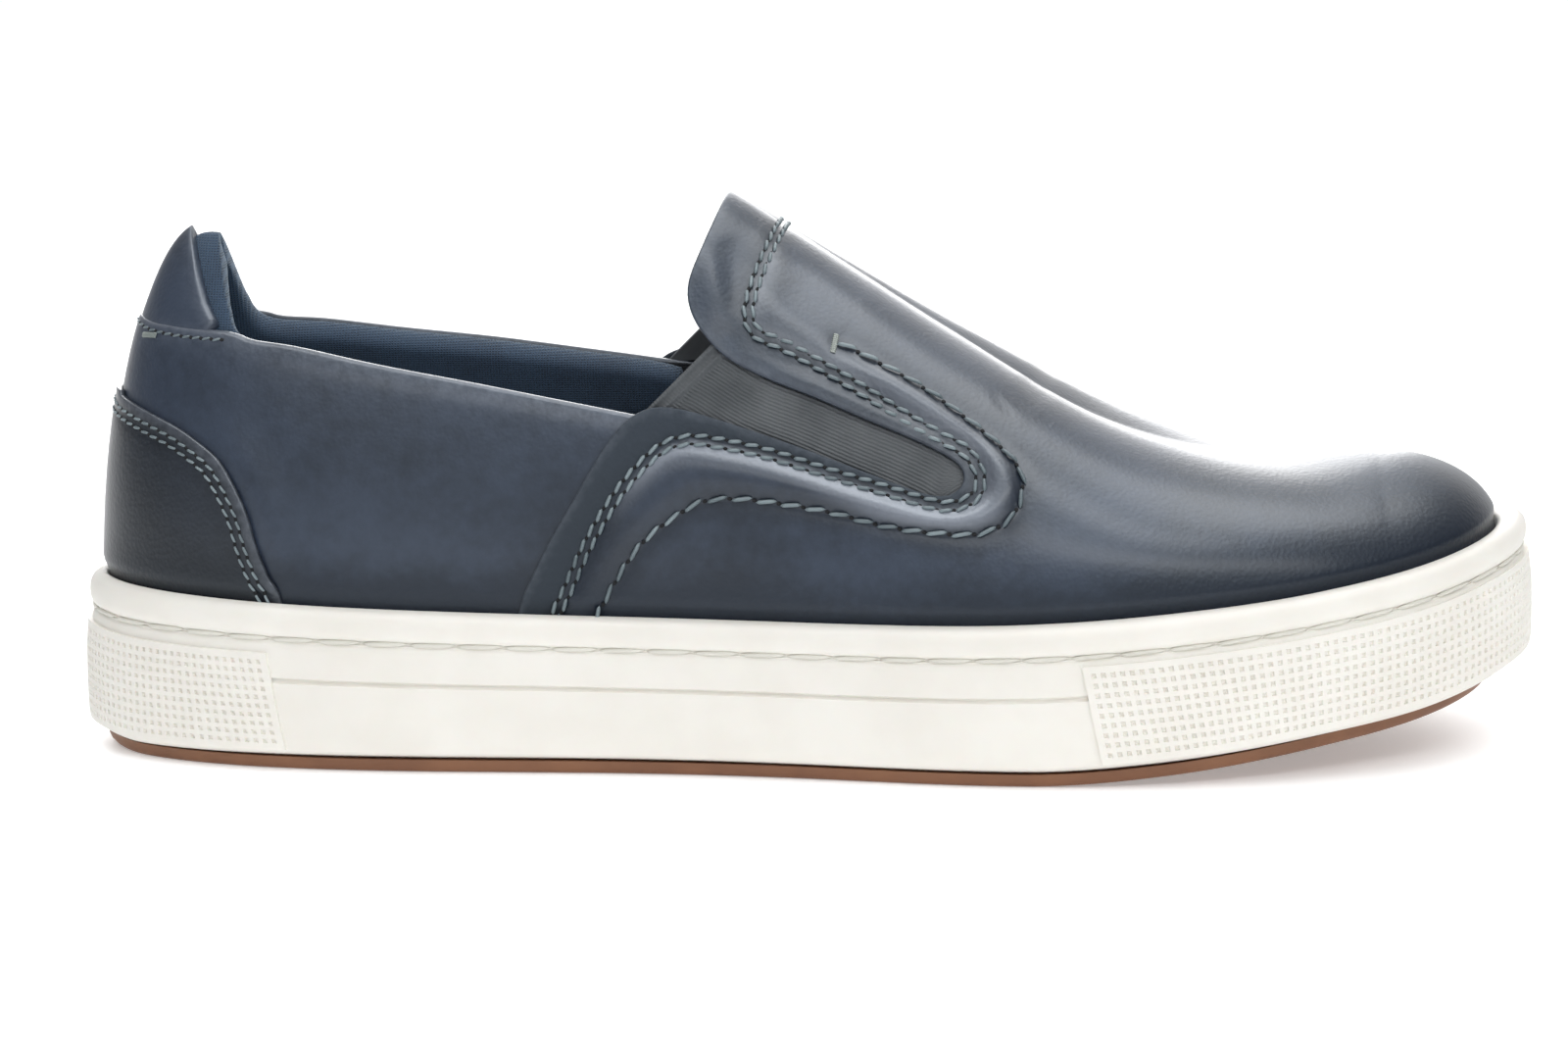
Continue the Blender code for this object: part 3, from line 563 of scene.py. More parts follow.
    def settle(self, flat: Array, inner: Array, level: Array) -> Array:
        """Points of the surface that a side view shows at flat (x, z), by halving the share."""
        x = flat[..., 0]
        z = flat[..., 1]
        inner = np.broadcast_to(inner, x.shape)
        below = np.zeros(x.shape)
        above = np.ones(x.shape)
        for _ in range(26):
            middle = (below + above) / 2
            short = self.at_height(middle, inner, z, level)[..., 0] < x
            below = np.where(short, middle, below)
            above = np.where(short, above, middle)
        return self.at_height((below + above) / 2, inner, z, level)


@dataclass
class Sheet:
    """Points, faces and vertex values of a mesh in the making."""

    points: Array
    faces: list[Array]
    values: dict[str, Array] = field(default_factory=dict)
    sharp: float = 0.0


def make_piece(name: str, sheet: Sheet, origin: Array) -> Piece:
    """A smooth mesh object from whole arrays; its place is in its mesh, so it sits at the origin.

    Args:
        name: Name of the object.
        sheet: Its points, faces and vertex values.
        origin: What is taken from the points, so that they are in the frame.

    Returns:
        The object, linked to the scene.
    """
    mesh = bpy.data.meshes.new(name)
    used = np.unique(np.concatenate([f.ravel() for f in sheet.faces]))
    order = np.full(len(sheet.points), -1)
    order[used] = np.arange(len(used))
    faces = [order[f] for f in sheet.faces]
    loops = np.concatenate([f.ravel() for f in faces])
    counts = np.concatenate([np.full(len(f), f.shape[1]) for f in faces])
    mesh.vertices.add(len(used))
    mesh.vertices.foreach_set("co", (sheet.points[used] - origin).astype(np.float32).ravel())
    mesh.loops.add(len(loops))
    mesh.loops.foreach_set("vertex_index", loops.astype(np.int32))
    mesh.polygons.add(len(counts))
    mesh.polygons.foreach_set("loop_start", np.concatenate([[0], np.cumsum(counts)[:-1]]).astype(np.int32))
    mesh.polygons.foreach_set("use_smooth", np.ones(len(counts), bool))
    mesh.update(calc_edges=True)
    mesh.validate()
    for key, value in sheet.values.items():
        layer = mesh.attributes.new(key, "FLOAT", "POINT")
        layer.data.foreach_set("value", value[used].astype(np.float32))
    if sheet.sharp:
        mesh.set_sharp_from_angle(angle=math.radians(sheet.sharp))
    item = bpy.data.objects.new(name, mesh)
    bpy.context.scene.collection.objects.link(item)
    return item


def ring_faces(rows: int, count: int, closed: bool = True) -> Array:
    """Quads of a grid whose points are numbered row by row.

    Args:
        rows: How many rows.
        count: How many points in a row.
        closed: Join each row's last point to its first.

    Returns:
        The quads, one row of four numbers each.
    """
    low = np.arange(rows - 1)[:, None] * count
    c = np.arange(count if closed else count - 1)[None, :]
    c2 = (c + 1) % count
    quads = np.stack(np.broadcast_arrays(low + c, low + c2, low + count + c2, low + count + c), -1)
    return quads.reshape(-1, 4)


def cells(grid: Array) -> Array:
    """The four corner values of every cell of a grid, turning one way."""
    return np.stack([grid[:-1, :-1], grid[1:, :-1], grid[1:, 1:], grid[:-1, 1:]], -1).reshape(-1, 4)


def ladder(first: int, steps: int) -> Array:
    """Quads that close a ring by joining each outer sample to its inner partner.

    Args:
        first: Number of the ring's first point, at the heel.
        steps: Steps along one side; the ring has twice as many points.
    """
    count = 2 * steps
    k = np.arange(steps)
    return first + np.stack([k, k + 1, (count - k - 1) % count, (count - k) % count], -1)


def joined(sheets: list[Sheet]) -> Sheet:
    """Several meshes without vertex values as one, their numbering shifted."""
    start = np.concatenate([[0], np.cumsum([len(s.points) for s in sheets])])
    faces: dict[int, list[Array]] = {}
    for s, first in zip(sheets, start):
        for f in s.faces:
            faces.setdefault(f.shape[1], []).append(f + first)
    return Sheet(np.vstack([s.points for s in sheets]), [np.vstack(f) for f in faces.values()])


class Skin:
    """A fine grid over the last, from which panels are cut and on which seams are traced.

    Grid rows run heel to toe.  Grid columns run from the outer foot over the ridge to the inner
    foot, so the first and last rows fold shut behind the heel and before the toe.
    """

    def __init__(self, last: Last, steps: int = 290, rows: int = 82) -> None:
        """Keep the last and the grid's numbers."""
        self.last = last
        self.steps = steps
        self.rows = rows
        self.i, self.j = np.meshgrid(np.arange(steps + 1.0), np.arange(2 * rows + 1.0), indexing="ij")

    def place(self, i: Array, j: Array, level: Array) -> Array:
        """Points at grid numbers, which may be fractions.

        The angle is a right angle times 0.6 s + 0.4 s^2, where s runs 0 to 1 up a side.
        """
        up = 1.0 - np.abs(j / self.rows - 1.0)
        angle = 0.5 * np.pi * (0.6 * up + 0.4 * up * up)
        return self.last.place(i / self.steps, j > self.rows, angle, level)

    def ways(self, i: Array, j: Array, level: Array) -> tuple[Array, Array, Array]:
        """Tangents along both grid ways and the outward unit normal."""
        h = 0.3
        i0 = np.clip(i - h, 0, self.steps)
        i1 = np.clip(i + h, 0, self.steps)
        j0 = np.clip(j - h, 0, 2 * self.rows)
        j1 = np.clip(j + h, 0, 2 * self.rows)
        di = (self.place(i1, j, level) - self.place(i0, j, level)) / (i1 - i0)[..., None]
        dj = (self.place(i, j1, level) - self.place(i, j0, level)) / (j1 - j0)[..., None]
        return di, dj, unit(np.cross(di, dj))

    def cut(self, outline: Outline, level: float, thickness: float, roll: float,
            relief: "Relief | None" = None, tuck: float = 0.0, crest: float = 0.0) -> Sheet:
        """A closed panel cut to an outline, with a rolled edge and an underside.

        Grid points near the line at the roll's distance inside the outline are drawn onto it
        along the distance's gradient; cells wholly inside are kept, and cells with three
        corners inside leave a triangle.  The edge is a quarter circle of the roll's radius.

        Args:
            outline: The outline in side view.
            level: Level of the panel's outer face.
            thickness: Its thickness.
            roll: Radius of its edge.
            relief: Height added to the outer face.
            tuck: How far it is drawn in where it goes down behind the rim.
            crest: Depth of a pad's crest below its outer face; the rest of its edge rounds inwards.
        """
        i, j, gap, inside, full_i, full_j = self._draw_in(outline, level, roll)
        faces = self._kept(inside, gap > TOUCH)
        i = i.ravel()
        j = j.ravel()
        di, dj, normal = self.ways(i, j, level)
        points = self.place(i, j, level)
        gi = full_i.ravel()[:, None]
        gj = full_j.ravel()[:, None]
        e = (di * di).sum(-1, keepdims=True)
        f = (di * dj).sum(-1, keepdims=True)
        g = (dj * dj).sum(-1, keepdims=True)
        climb = (g * gi - f * gj) * di + (e * gj - f * gi) * dj
        out = unit(-climb)
        foot = (j < 0.5) | (j > 2 * self.rows - 0.5)
        down = np.where(j[:, None] < 1, -dj, dj)
        out[foot] = unit(down[foot])
        distance = gap.ravel() + roll
        inner = j > self.rows
        seats = rim(points[:, 0]) + GAP
        sunk = -tuck * (1.0 - ease(points[:, 2] - seats, -0.0005, 0.0030))
        base = points + normal * sunk[:, None]
        top = base.copy()
        if relief is not None:
            top += normal * relief.height(points, inner, distance)[:, None]
        sheet = self._close(base, top, normal, out, faces, thickness, roll, crest)
        source = sheet.values.pop("source").astype(int)
        if relief is not None:
            for key, value in relief.marks(points, inner, distance).items():
                sheet.values[key] = value[source]
        return sheet

    def _draw_in(self, outline: Outline, level: float, roll: float) -> tuple[Array, ...]:
        """Draw the grid points near a cut line onto it.

        Returns:
            Both grid numbers, the distance from the line and whether the point is held, all of
            the grid's shape, and the distance's two slopes before the drawing.
        """
        i = self.i.copy()
        j = self.j.copy()
        gap = outline.measure(self.place(i, j, level), j > self.rows)[0] - roll
        full_i, full_j = np.gradient(gap)
        gi = full_i.copy()
        gj = full_j.copy()
        gi[[0, -1]] = 0.0
        gj[:, [0, -1]] = 0.0
        size = gi ** 2 + gj ** 2 + 1e-14
        near = np.maximum(np.abs(gap * gi), np.abs(gap * gj)) <= 0.53 * size
        for _ in range(3):
            i[near] = np.clip(i[near] - gap[near] * gi[near] / size[near], 0, self.steps)
            j[near] = np.clip(j[near] - gap[near] * gj[near] / size[near], 0, 2 * self.rows)
            moved = self.place(i[near], j[near], level)
            gap[near] = outline.measure(moved, j[near] > self.rows)[0] - roll
        inside = near | (gap > 0.0)
        for _ in range(3):
            stray = self._stray(inside) & (gap > TOUCH) & (size > 1e-10)
            stray[[0, -1]] = False
            stray[:, [0, -1]] = False
            if not stray.any():
                break
            for _ in range(3):
                step = np.clip(gap[stray] / size[stray], -1e9, 1e9)
                i_step, j_step = (np.clip(step * slope[stray], -0.45, 0.45) for slope in (gi, gj))
                i[stray] = np.clip(i[stray] - i_step, 0, self.steps)
                j[stray] = np.clip(j[stray] - j_step, 0, 2 * self.rows)
                moved = self.place(i[stray], j[stray], level)
                gap[stray] = outline.measure(moved, j[stray] > self.rows)[0] - roll
        return i, j, gap, inside, full_i, full_j

    def _kept(self, inside: Array, deep: Array) -> list[Array]:
        """Quads of cells wholly held, and triangles of cells with three corners held."""
        across = 2 * self.rows + 1
        number = np.arange((self.steps + 1) * across).reshape(self.steps + 1, across)
        shut = np.minimum(np.arange(across), across - 1 - np.arange(across))
        number[0] = number[0, shut]
        number[-1] = number[-1, shut]
        corner = cells(number)
        held = cells(inside)
        deeper = cells(deep)
        quads = corner[held.all(1) & (held & deeper).any(1)]
        triangles = []
        for k in range(4):
            turn = [(k + 1) % 4, (k + 2) % 4, (k + 3) % 4]
            wanted = (held.sum(1) == 3) & ~held[:, k] & deeper[:, turn].any(1)
            triangles.append(corner[wanted][:, turn])
        return [quads, np.vstack(triangles)]

    @staticmethod
    def _stray(inside: Array) -> Array:
        """Grid points that are held but have a neighbour, straight or diagonal, that isn't."""
        padded = np.pad(inside, 1, mode="edge")
        around = np.ones_like(inside)
        for a in (0, 1, 2):
            for b in (0, 1, 2):
                around &= padded[a:a + inside.shape[0], b:b + inside.shape[1]]
        return inside & ~around

    @staticmethod
    def _close(base: Array, top: Array, normal: Array, out: Array, faces: list[Array],
               thickness: float, roll: float, crest: float) -> Sheet:
        """Add the rolled edge, the cut edge and the underside to a cut grid."""
        count = len(top)
        directed = np.vstack([
            np.vstack([np.stack([f[:, k], f[:, (k + 1) % f.shape[1]]], -1) for k in range(f.shape[1])])
            for f in faces
        ])
        key = directed[:, 0] * count + directed[:, 1]
        back = directed[:, 1] * count + directed[:, 0]
        border = directed[~np.isin(key, back)]
        edge = np.unique(border)
        order = np.full(count, -1)
        order[edge] = np.arange(len(edge))
        rings = []
        shoulder = crest or roll
        for angle in np.radians((18.0, 36.0, 54.0, 72.0, 90.0)):
            sunk = shoulder * (1.0 - np.cos(angle))
            rings.append(top[edge] + roll * np.sin(angle) * out[edge] - sunk * normal[edge])
        if crest:
            for angle in np.radians((78.0, 66.0, 54.0, 36.0, 18.0)):
                sunk = thickness - (thickness - crest) * (1.0 - np.cos(angle))
                rings.append(base[edge] + roll * np.sin(angle) * out[edge] - sunk * normal[edge])
        else:
            rings.append(base[edge] + roll * out[edge] - thickness * normal[edge])
        floor = base - normal * thickness
        points = np.vstack([top, floor] + rings)
        first = 2 * count + np.arange(len(rings)) * len(edge)
        strips = []
        a = border[:, 0]
        b = border[:, 1]
        ids = [(a, b)] + [(start + order[a], start + order[b]) for start in first] + [(a + count, b + count)]
        for (a0, b0), (a1, b1) in zip(ids[:-1], ids[1:]):
            strips.append(np.stack([b0, a0, a1, b1], -1))
        under = [f[:, ::-1] + count for f in faces]
        source = np.concatenate([np.arange(count), np.arange(count)] + [edge] * len(rings)).astype(float)
        all_faces = [np.vstack([faces[0], under[0]] + strips), np.vstack([faces[1], under[1]])]
        return Sheet(points, [f for f in all_faces if len(f)], {"source": source})

    def trace(self, outline: Outline, inset: float, level: float) -> tuple[Array, Array]:
        """The line on the surface at one distance inside an outline.

        Places where the distance passes the inset between two grid points are found along both
        grid ways, and put in order by their place along the outline, outer side first.

        Args:
            outline: The outline.
            inset: Distance inside it.
            level: Level of the line.

        Returns:
            Points and normals along the line.
        """
        gap = outline.measure(self.place(self.i, self.j, level), self.j > self.rows)[0] - inset
        found = []
        for axis in (0, 1):
            g = np.moveaxis(gap, axis, 0)
            change = (g[:-1] * g[1:] < 0.0) & (np.abs(g[1:] - g[:-1]) < 0.006)
            share = np.where(change, g[:-1] / np.where(change, g[:-1] - g[1:], 1.0), 0.0)
            i = np.moveaxis(self.i, axis, 0)[:-1] + (share if axis == 0 else 0.0)
            j = np.moveaxis(self.j, axis, 0)[:-1] + (share if axis == 1 else 0.0)
            found.append(np.stack([i[change], j[change]], -1))
        i, j = np.vstack(found).T
        points = self.place(i, j, level)
        normal = self.ways(i, j, level)[2]
        inner = j > self.rows
        spot = outline.measure(points, inner)[1]
        cross = outline.crossing * steps_of(outline.edge).sum()
        order = np.argsort(np.where(inner, 1.0, -1.0) * (np.abs(spot - cross) + 1e-6))
        return even_path(points[order], normal[order], 0.0004)


def even_path(points: Array, normals: Array, step: float, smoothing: int = 6) -> tuple[Array, Array]:
    """A traced path at an even step, smoothed by a running mean of three."""
    line = np.column_stack([points, normals])
    far = np.concatenate([[True], steps_of(points) > TOUCH])
    line = line[far]
    length = steps_of(line[:, :3]).sum()
    line = along(line, np.linspace(0.0, 1.0, max(4, int(length / step))))
    for _ in range(smoothing):
        line[1:-1] = (line[:-2] + line[1:-1] + line[2:]) / 3.0
    return line[:, :3], unit(line[:, 3:])


@dataclass(frozen=True)
class Fold:
    """One crease or swell in the leather, placed in side view.

    Attributes:
        line: Stations and height shares along it.
        width: Half width of the trough.
        depth: Depth of the trough; a negative one is a ridge.
    """

    line: Rows
    width: float
    depth: float

    def height(self, points: Array) -> Array:
        """Height at points: minus depth times a bell across, less 0.3 of a second bell 2.2 widths away.

        Both fade to nothing at the two ends, and beyond four widths there is no height.
        """
        path = drawn(self.line, 24)
        flat = points[:, [0, 2]]
        run = np.diff(path, axis=0)
        span = (run ** 2).sum(1)
        close = np.full(len(flat), 1.0)
        spot = np.zeros(len(flat))
        reach = 4 * self.width
        box = (flat > path.min(0) - reach).all(1) & (flat < path.max(0) + reach).all(1)
        near = np.flatnonzero(box)
        off = flat[near, None] - path[:-1]
        u = np.clip((off * run).sum(-1) / span, 0.0, 1.0)
        gap = np.linalg.norm(off - u[..., None] * run, axis=-1)
        best = gap.argmin(1)
        row = np.arange(len(near))
        close[near] = gap[row, best]
        spot[near] = (best + u[row, best]) / len(run)
        bell = np.exp(-((close / self.width) ** 2)) * (close < reach)
        shoulder = 0.30 * np.exp(-(((close - 2.2 * self.width) / self.width) ** 2)) * (close < reach)
        fade = np.sin(np.pi * np.clip(spot, 0.0, 1.0)) ** 0.6
        return -self.depth * (bell - shoulder) * fade


@dataclass
class Relief:
    """Height worked into the outer face of a panel.

    Attributes:
        insets: Distances of stitch rows from the panel's edge.
        lanes: Outlines that stitch rows follow, the double row first and the outer row last.
        folds: Creases given one by one.
        puff: Height of the padded band between the double row and the outer row.
        groove: Depth of the dent along a row.
        dent: Half width of that dent.
        hem: How far the panel sinks towards its turned edge, over 6 mm.
        wear_and_sheen: How far in from the edge the leather turns pale, partly wear and partly a painted
            highlight.
    """

    insets: tuple[float, ...] = ()
    lanes: tuple[Outline, ...] = ()
    folds: tuple[Fold, ...] = ()
    puff: float = 0.0
    groove: float = 0.00025
    dent: float = 0.0013
    hem: float = 0.0
    wear_and_sheen: float = 0.0016

    def _rows(self, points: Array, inner: Array, distance: Array) -> list[Array]:
        """Distance of every point from each row."""
        rows = [distance - inset for inset in self.insets]
        return rows + [lane.measure(points, inner)[0] for lane in self.lanes]

    def band(self, rows: list[Array], points: Array, inner: Array) -> Array:
        """Share of the padded band's height between the double row and the outer row.

        It is 4ab / (a + b)^2 to the power 0.8, of the distances a and b to the two rows, and
        fades where the band is very narrow or wide and towards the outer row's tack.
        """
        if not self.puff:
            return np.zeros(len(points))
        near = np.clip(rows[0] - 0.0012, 0.0, None)
        far = np.clip(-rows[-1] - 0.0004, 0.0, None)
        wide = near + far
        share = (4.0 * near * far / np.maximum(wide ** 2, 1e-9)) ** 0.8
        place = self.lanes[-1].measure(points, inner)[1]
        fade = ease(wide, 0.0010, 0.0050) * (1.0 - ease(wide, 0.011, 0.020)) * ease(place, 0.001, 0.016)
        return share * fade * (0.35 + 0.65 * ease(points[:, 0], 0.108, 0.130))

    def pull_and_highlight(self, rows: list[Array], points: Array) -> Array:
        """Paler leather, 0 to 1, part paling where drawn and part painted highlight: beside the double row
        and the whole band at the gore's tip.
        """
        if not self.puff:
            return np.zeros(len(points))
        near = np.clip(rows[0] - 0.0008, 0.0, None)
        tip = ease(points[:, 0], 0.150, 0.186)
        share = np.exp(-(near / (0.0022 + 0.0030 * tip)) ** 2) * ease(rows[0], 0.0002, 0.0012)
        share *= ease(-rows[-1], 0.0, 0.0010 + 0.0014 * tip) * ease(points[:, 0], 0.112, 0.128)
        return share * (0.35 + 0.65 * ease(gore_middle(points[:, 0]) - points[:, 2], -0.003, 0.004))

    def height(self, points: Array, inner: Array, distance: Array) -> Array:
        """Sum of the stitch dents, the padded band, the sinking hem and the folds."""
        total = np.zeros(len(points))
        rows = self._rows(points, inner, distance)
        for away in rows:
            total -= self.groove * np.exp(-((away / self.dent) ** 2))
        total += self.puff * self.band(rows, points, inner)
        if self.hem:
            total -= self.hem * (1.0 - ease(distance, -0.001, 0.006)) ** 2 * ease(points[:, 0], 0.030, 0.040)
        for fold in self.folds:
            total += fold.height(points)
        return total

    def marks(self, points: Array, inner: Array, distance: Array) -> dict[str, Array]:
        """Values for the finish.

        Args:
            points: Points on the upper.
            inner: Whether each point is on the inner side.
            distance: Distance of each from the panel's edge.

        Returns:
            Nearness of a seam, darkened as burnish and painted shade; the matt strip along the edge;
            the paler band, stretch and a painted highlight; the pale hem, wear and a painted highlight;
            and nearness of the sole, darkened as burnish and painted shade; each 0 to 1.
        """
        rows = self._rows(points, inner, distance)
        # Nearness of a stitch row; the finish darkens the leather there, partly as burnish and partly as
        # painted shade along the seams
        near = np.full(len(points), 1.0)
        for away in rows:
            near = np.minimum(near, np.abs(away) / 0.005)
        strip = np.zeros(len(points))
        if self.puff:
            strip = 1.0 - ease(rows[0], -0.0010, 0.0004)
            strip *= 0.25 + 0.75 * ease(gore_middle(points[:, 0]) - points[:, 2], -0.003, 0.002)
        # Pale hem by the edge, partly wear and partly a painted highlight on the edge
        hem = np.exp(-np.clip(distance, 0.0, 1.0) / self.wear_and_sheen)
        # Nearness of the sole, higher at the toe; the finish darkens and dulls the leather there, partly
        # burnish and partly painted shade
        reach = 0.013 + 0.016 * ease(points[:, 0], 0.255, 0.290)
        foot = 1.0 - ease((points[:, 2] - rim(points[:, 0])) / reach, 0.0, 1.0)
        seam = 1.0 - np.clip(near, 0.0, 1.0)
        return {"seam": seam, "strip": strip, "pull_and_highlight": self.pull_and_highlight(rows, points), "hem": hem, "foot": foot}


def stretch_tip(points: Array, slope: float = 0.0) -> None:
    """Stretch the heel's tip upwards by up to TIP_STRETCH, less by the slope towards its front."""
    front = 1.0 - slope * ease(points[:, 0], 0.0275, 0.0360)
    points[:, 2] += TIP_STRETCH * ease(points[:, 2], 0.092, 0.109) * front * (points[:, 0] < 0.060)


def gore_middle(x: Array) -> Array:
    """Height of the gore's middle line, a straight one, at a length."""
    start, height, fall = GORE_MIDDLE
    return height - fall * (x - start)


def corners(*shares: tuple[float, float]) -> Array:
    """Points well outside the shoe, as (station, share of INSTEP_HEIGHT)."""
    return np.array([(s * LENGTH, h * INSTEP_HEIGHT) for s, h in shares])


@dataclass
class Pattern:
    """The outlines of every panel, as the pattern cutter draws them in side view."""

    collar: Array = field(default_factory=lambda: drawn(COLLAR_LINE, 50))
    leg: Array = field(default_factory=lambda: drawn(WING_LEG, 46))
    slot: Array = field(default_factory=lambda: drawn(GORE_LOW + GORE_TIP + GORE_HIGH, 110))
    tongue: Array = field(default_factory=lambda: drawn(TONGUE_BACK, 50))

    def vamp(self) -> Outline:
        """Wing leg, gore slot and tongue, closed round the toe."""
        edge = round_corners(np.vstack([self.leg, self.slot, self.tongue]))
        return Outline(edge, corners((0.47, 1.5), (1.10, 1.5), (1.10, 0.12)))

    def counter(self) -> Outline:
        """Heel counter cover."""
        edge = drawn(COUNTER_TOP, 80)
        return Outline(edge, corners((-0.04, 0.12)), lifted=False, crossing=0.0)

    def quarter(self) -> Outline:
        """Quarter from the back seam to below the vamp."""
        back = drawn(BACK_LINE, 30)
        slot = nudged(self.slot, -UNDERLAP)
        edge = np.vstack([back, self.collar, slot[slot[:, 0] < 0.47 * LENGTH][:30]])
        return Outline(edge, corners((0.47, 0.12), (-0.04, 0.12)), crossing=0.0)

    def tab(self) -> Outline:
        """Pull tab above the quarter at the back."""
        back = drawn(BACK_LINE, 30)
        front = drawn(TAB_FRONT, 50)[::-1]
        back[:, 1] -= UNDERLAP
        front[0, 1] -= UNDERLAP
        edge = np.vstack([back[back[:, 0] < front[0, 0] - 0.0005], front])
        return Outline(edge, corners((-0.04, 1.06)), lifted=False, crossing=0.0)

    def double_row(self) -> Outline:
        """Area in front of the double row of stitches."""
        edge = drawn(DOUBLE_ROW, 170)
        return Outline(edge, corners((0.345, 0.12), (1.10, 0.12), (1.10, 1.5), (0.503, 1.5)), crossing=0.0)

    def outer_row(self) -> Outline:
        """Area in front of the outer single row of stitches."""
        edge = drawn(OUTER_ROW, 140)
        return Outline(edge, corners((0.375, 0.12), (1.10, 0.12), (1.10, 1.5), (0.30, 1.5)))


def round_corners(line: Array, passes: int = 14) -> Array:
    """A line at an even 0.9 mm step whose corners are rounded by repeated means of three."""
    even = along(line, np.linspace(0.0, 1.0, int(steps_of(line).sum() / 0.0009)))
    for _ in range(passes):
        even[1:-1] = (even[:-2] + 2.0 * even[1:-1] + even[2:]) / 4.0
    return even


@dataclass(frozen=True)
class Leather:
    """Burnished, waxed leather that pales where drawn: dark ground, paler bloom, fine grain, a thin coat, and
    painted shade and highlights.
    """

    name: str
    deep: Colour = (0.0075, 0.0120, 0.0230)
    bloom: Colour = (0.0330, 0.0470, 0.0780)
    cut: Colour = (0.0330, 0.0400, 0.0500)
    # Colour of the paler band and hem: partly real paling, partly a painted highlight
    pale: Colour = (0.2300, 0.2550, 0.3000)
    roughness: float = 0.42
    coat: float = 0.70
    coat_roughness: float = 0.28
    cloud_scale: float = 26.0
    fine_scale: float = 420.0
    pore_scale: float = 1100.0
    wrinkle_scale: float = 150.0
    grain_scale: float = 1900.0

    def make(self) -> bpy.types.Material:
        """Node tree of the leather.

        Two noises mix ground and bloom, darker by seams and above the sole, partly as burnish and
        partly as painted shade.  The vertex values lay the matt strip, and a paler band and hem that
        are partly real paling from stretch and wear and partly a painted highlight, over them, and
        cells with two noises make the grain.
        """
        tree = Tree(self.name)
        where = tree.add("ShaderNodeTexCoord").outputs["Object"]
        cloud = tree.noise(where, self.cloud_scale, 4.0, 0.55)
        fine = tree.noise(where, self.fine_scale, 3.0, 0.6)
        blend = tree.math("MULTIPLY_ADD", cloud, 1.3, -0.25)
        blend = tree.math("MULTIPLY_ADD", fine, 0.32, blend)
        strip = tree.value_of("strip")
        foot = tree.value_of("foot")
        # Darker by the seams and above the sole: partly burnish, partly painted shade
        darker = tree.math("MULTIPLY_ADD", tree.value_of("seam"), 0.30, tree.math("MULTIPLY", foot, 0.45))
        blend = tree.math("SUBTRACT", blend, darker)
        base = tree.ramp(blend, ((0.20, self.deep), (0.90, self.bloom)))
        base = tree.mix(tree.math("MULTIPLY", strip, 0.85), base, self.cut)
        # Paler band and hem towards the pale colour: partly stretch and wear, partly a painted highlight
        stretch_and_highlight = tree.math("MULTIPLY", tree.value_of("pull_and_highlight"), tree.math("MULTIPLY_ADD", cloud, 0.9, 0.75))
        wear_and_sheen = tree.math("MULTIPLY", tree.value_of("hem"), tree.math("MULTIPLY_ADD", fine, 0.9, -0.15))
        amount = tree.math("ADD", stretch_and_highlight, wear_and_sheen)
        tree.set("Base Color", tree.mix(amount, base, self.pale))
        rough = tree.math("MULTIPLY_ADD", cloud, 0.16, self.roughness - 0.08)
        tree.set("Roughness", tree.math("MULTIPLY_ADD", strip, 0.28, rough))
        dull = tree.math("MAXIMUM", strip, tree.math("MULTIPLY", foot, 0.5))
        tree.set("Coat Weight", tree.math("MULTIPLY_ADD", dull, -self.coat, self.coat))
        tree.value("Coat Roughness", self.coat_roughness)
        tree.value("Specular IOR Level", 0.34)
        tree.value("Specular Tint", (0.74, 0.88, 1.0, 1.0))
        pores = tree.add("ShaderNodeTexVoronoi")
        pores.feature = "SMOOTH_F1"
        pores.inputs["Scale"].default_value = self.pore_scale
        pores.inputs["Smoothness"].default_value = 0.6
        tree.link(where, pores.inputs["Vector"])
        wrinkle = tree.noise(where, self.wrinkle_scale, 5.0, 0.62)
        height = tree.math("MULTIPLY_ADD", pores.outputs["Distance"], 0.7, wrinkle)
        height = tree.math("MULTIPLY_ADD", tree.noise(where, self.grain_scale, 2.0, 0.5), 0.35, height)
        tree.bump(height, 0.20, 0.0007)
        return tree.material


class Nodes:
    """A small helper round the node tree of a material or a world."""

    def __init__(self, owner: bpy.types.Material | bpy.types.World) -> None:
        """Switch the owner's nodes on and keep its tree."""
        owner.use_nodes = True
        self.tree = owner.node_tree

    def add(self, kind: str, numbers: dict[str, float] | None = None, **starts: Socket) -> bpy.types.Node:
        """A new node of a kind, its inputs set to numbers and linked from sockets by their names."""
        node = self.tree.nodes.new(kind)
        for name, number in (numbers or {}).items():
            node.inputs[name].default_value = number
        for name, start in starts.items():
            self.link(start, node.inputs[name])
        return node

    def link(self, start: Socket, end: Socket) -> None:
        """Join two sockets."""
        self.tree.links.new(start, end)

    def math(self, operation: str, *values: Socket | float) -> Socket:
        """One Math node; each value is a socket or a number."""
        node = self.add("ShaderNodeMath")
        node.operation = operation
        for socket, value in zip(node.inputs, values):
            if isinstance(value, Socket):
                self.link(value, socket)
            else:
                socket.default_value = value
        return node.outputs[0]

    def span(self, start: Socket, ends: tuple[float, float], results: tuple[float, float]) -> Socket:
        """A value brought evenly from one range to another, and held at both ends."""
        numbers = dict(zip(("From Min", "From Max", "To Min", "To Max"), ends + results))
        return self.add("ShaderNodeMapRange", numbers, Value=start).outputs["Result"]


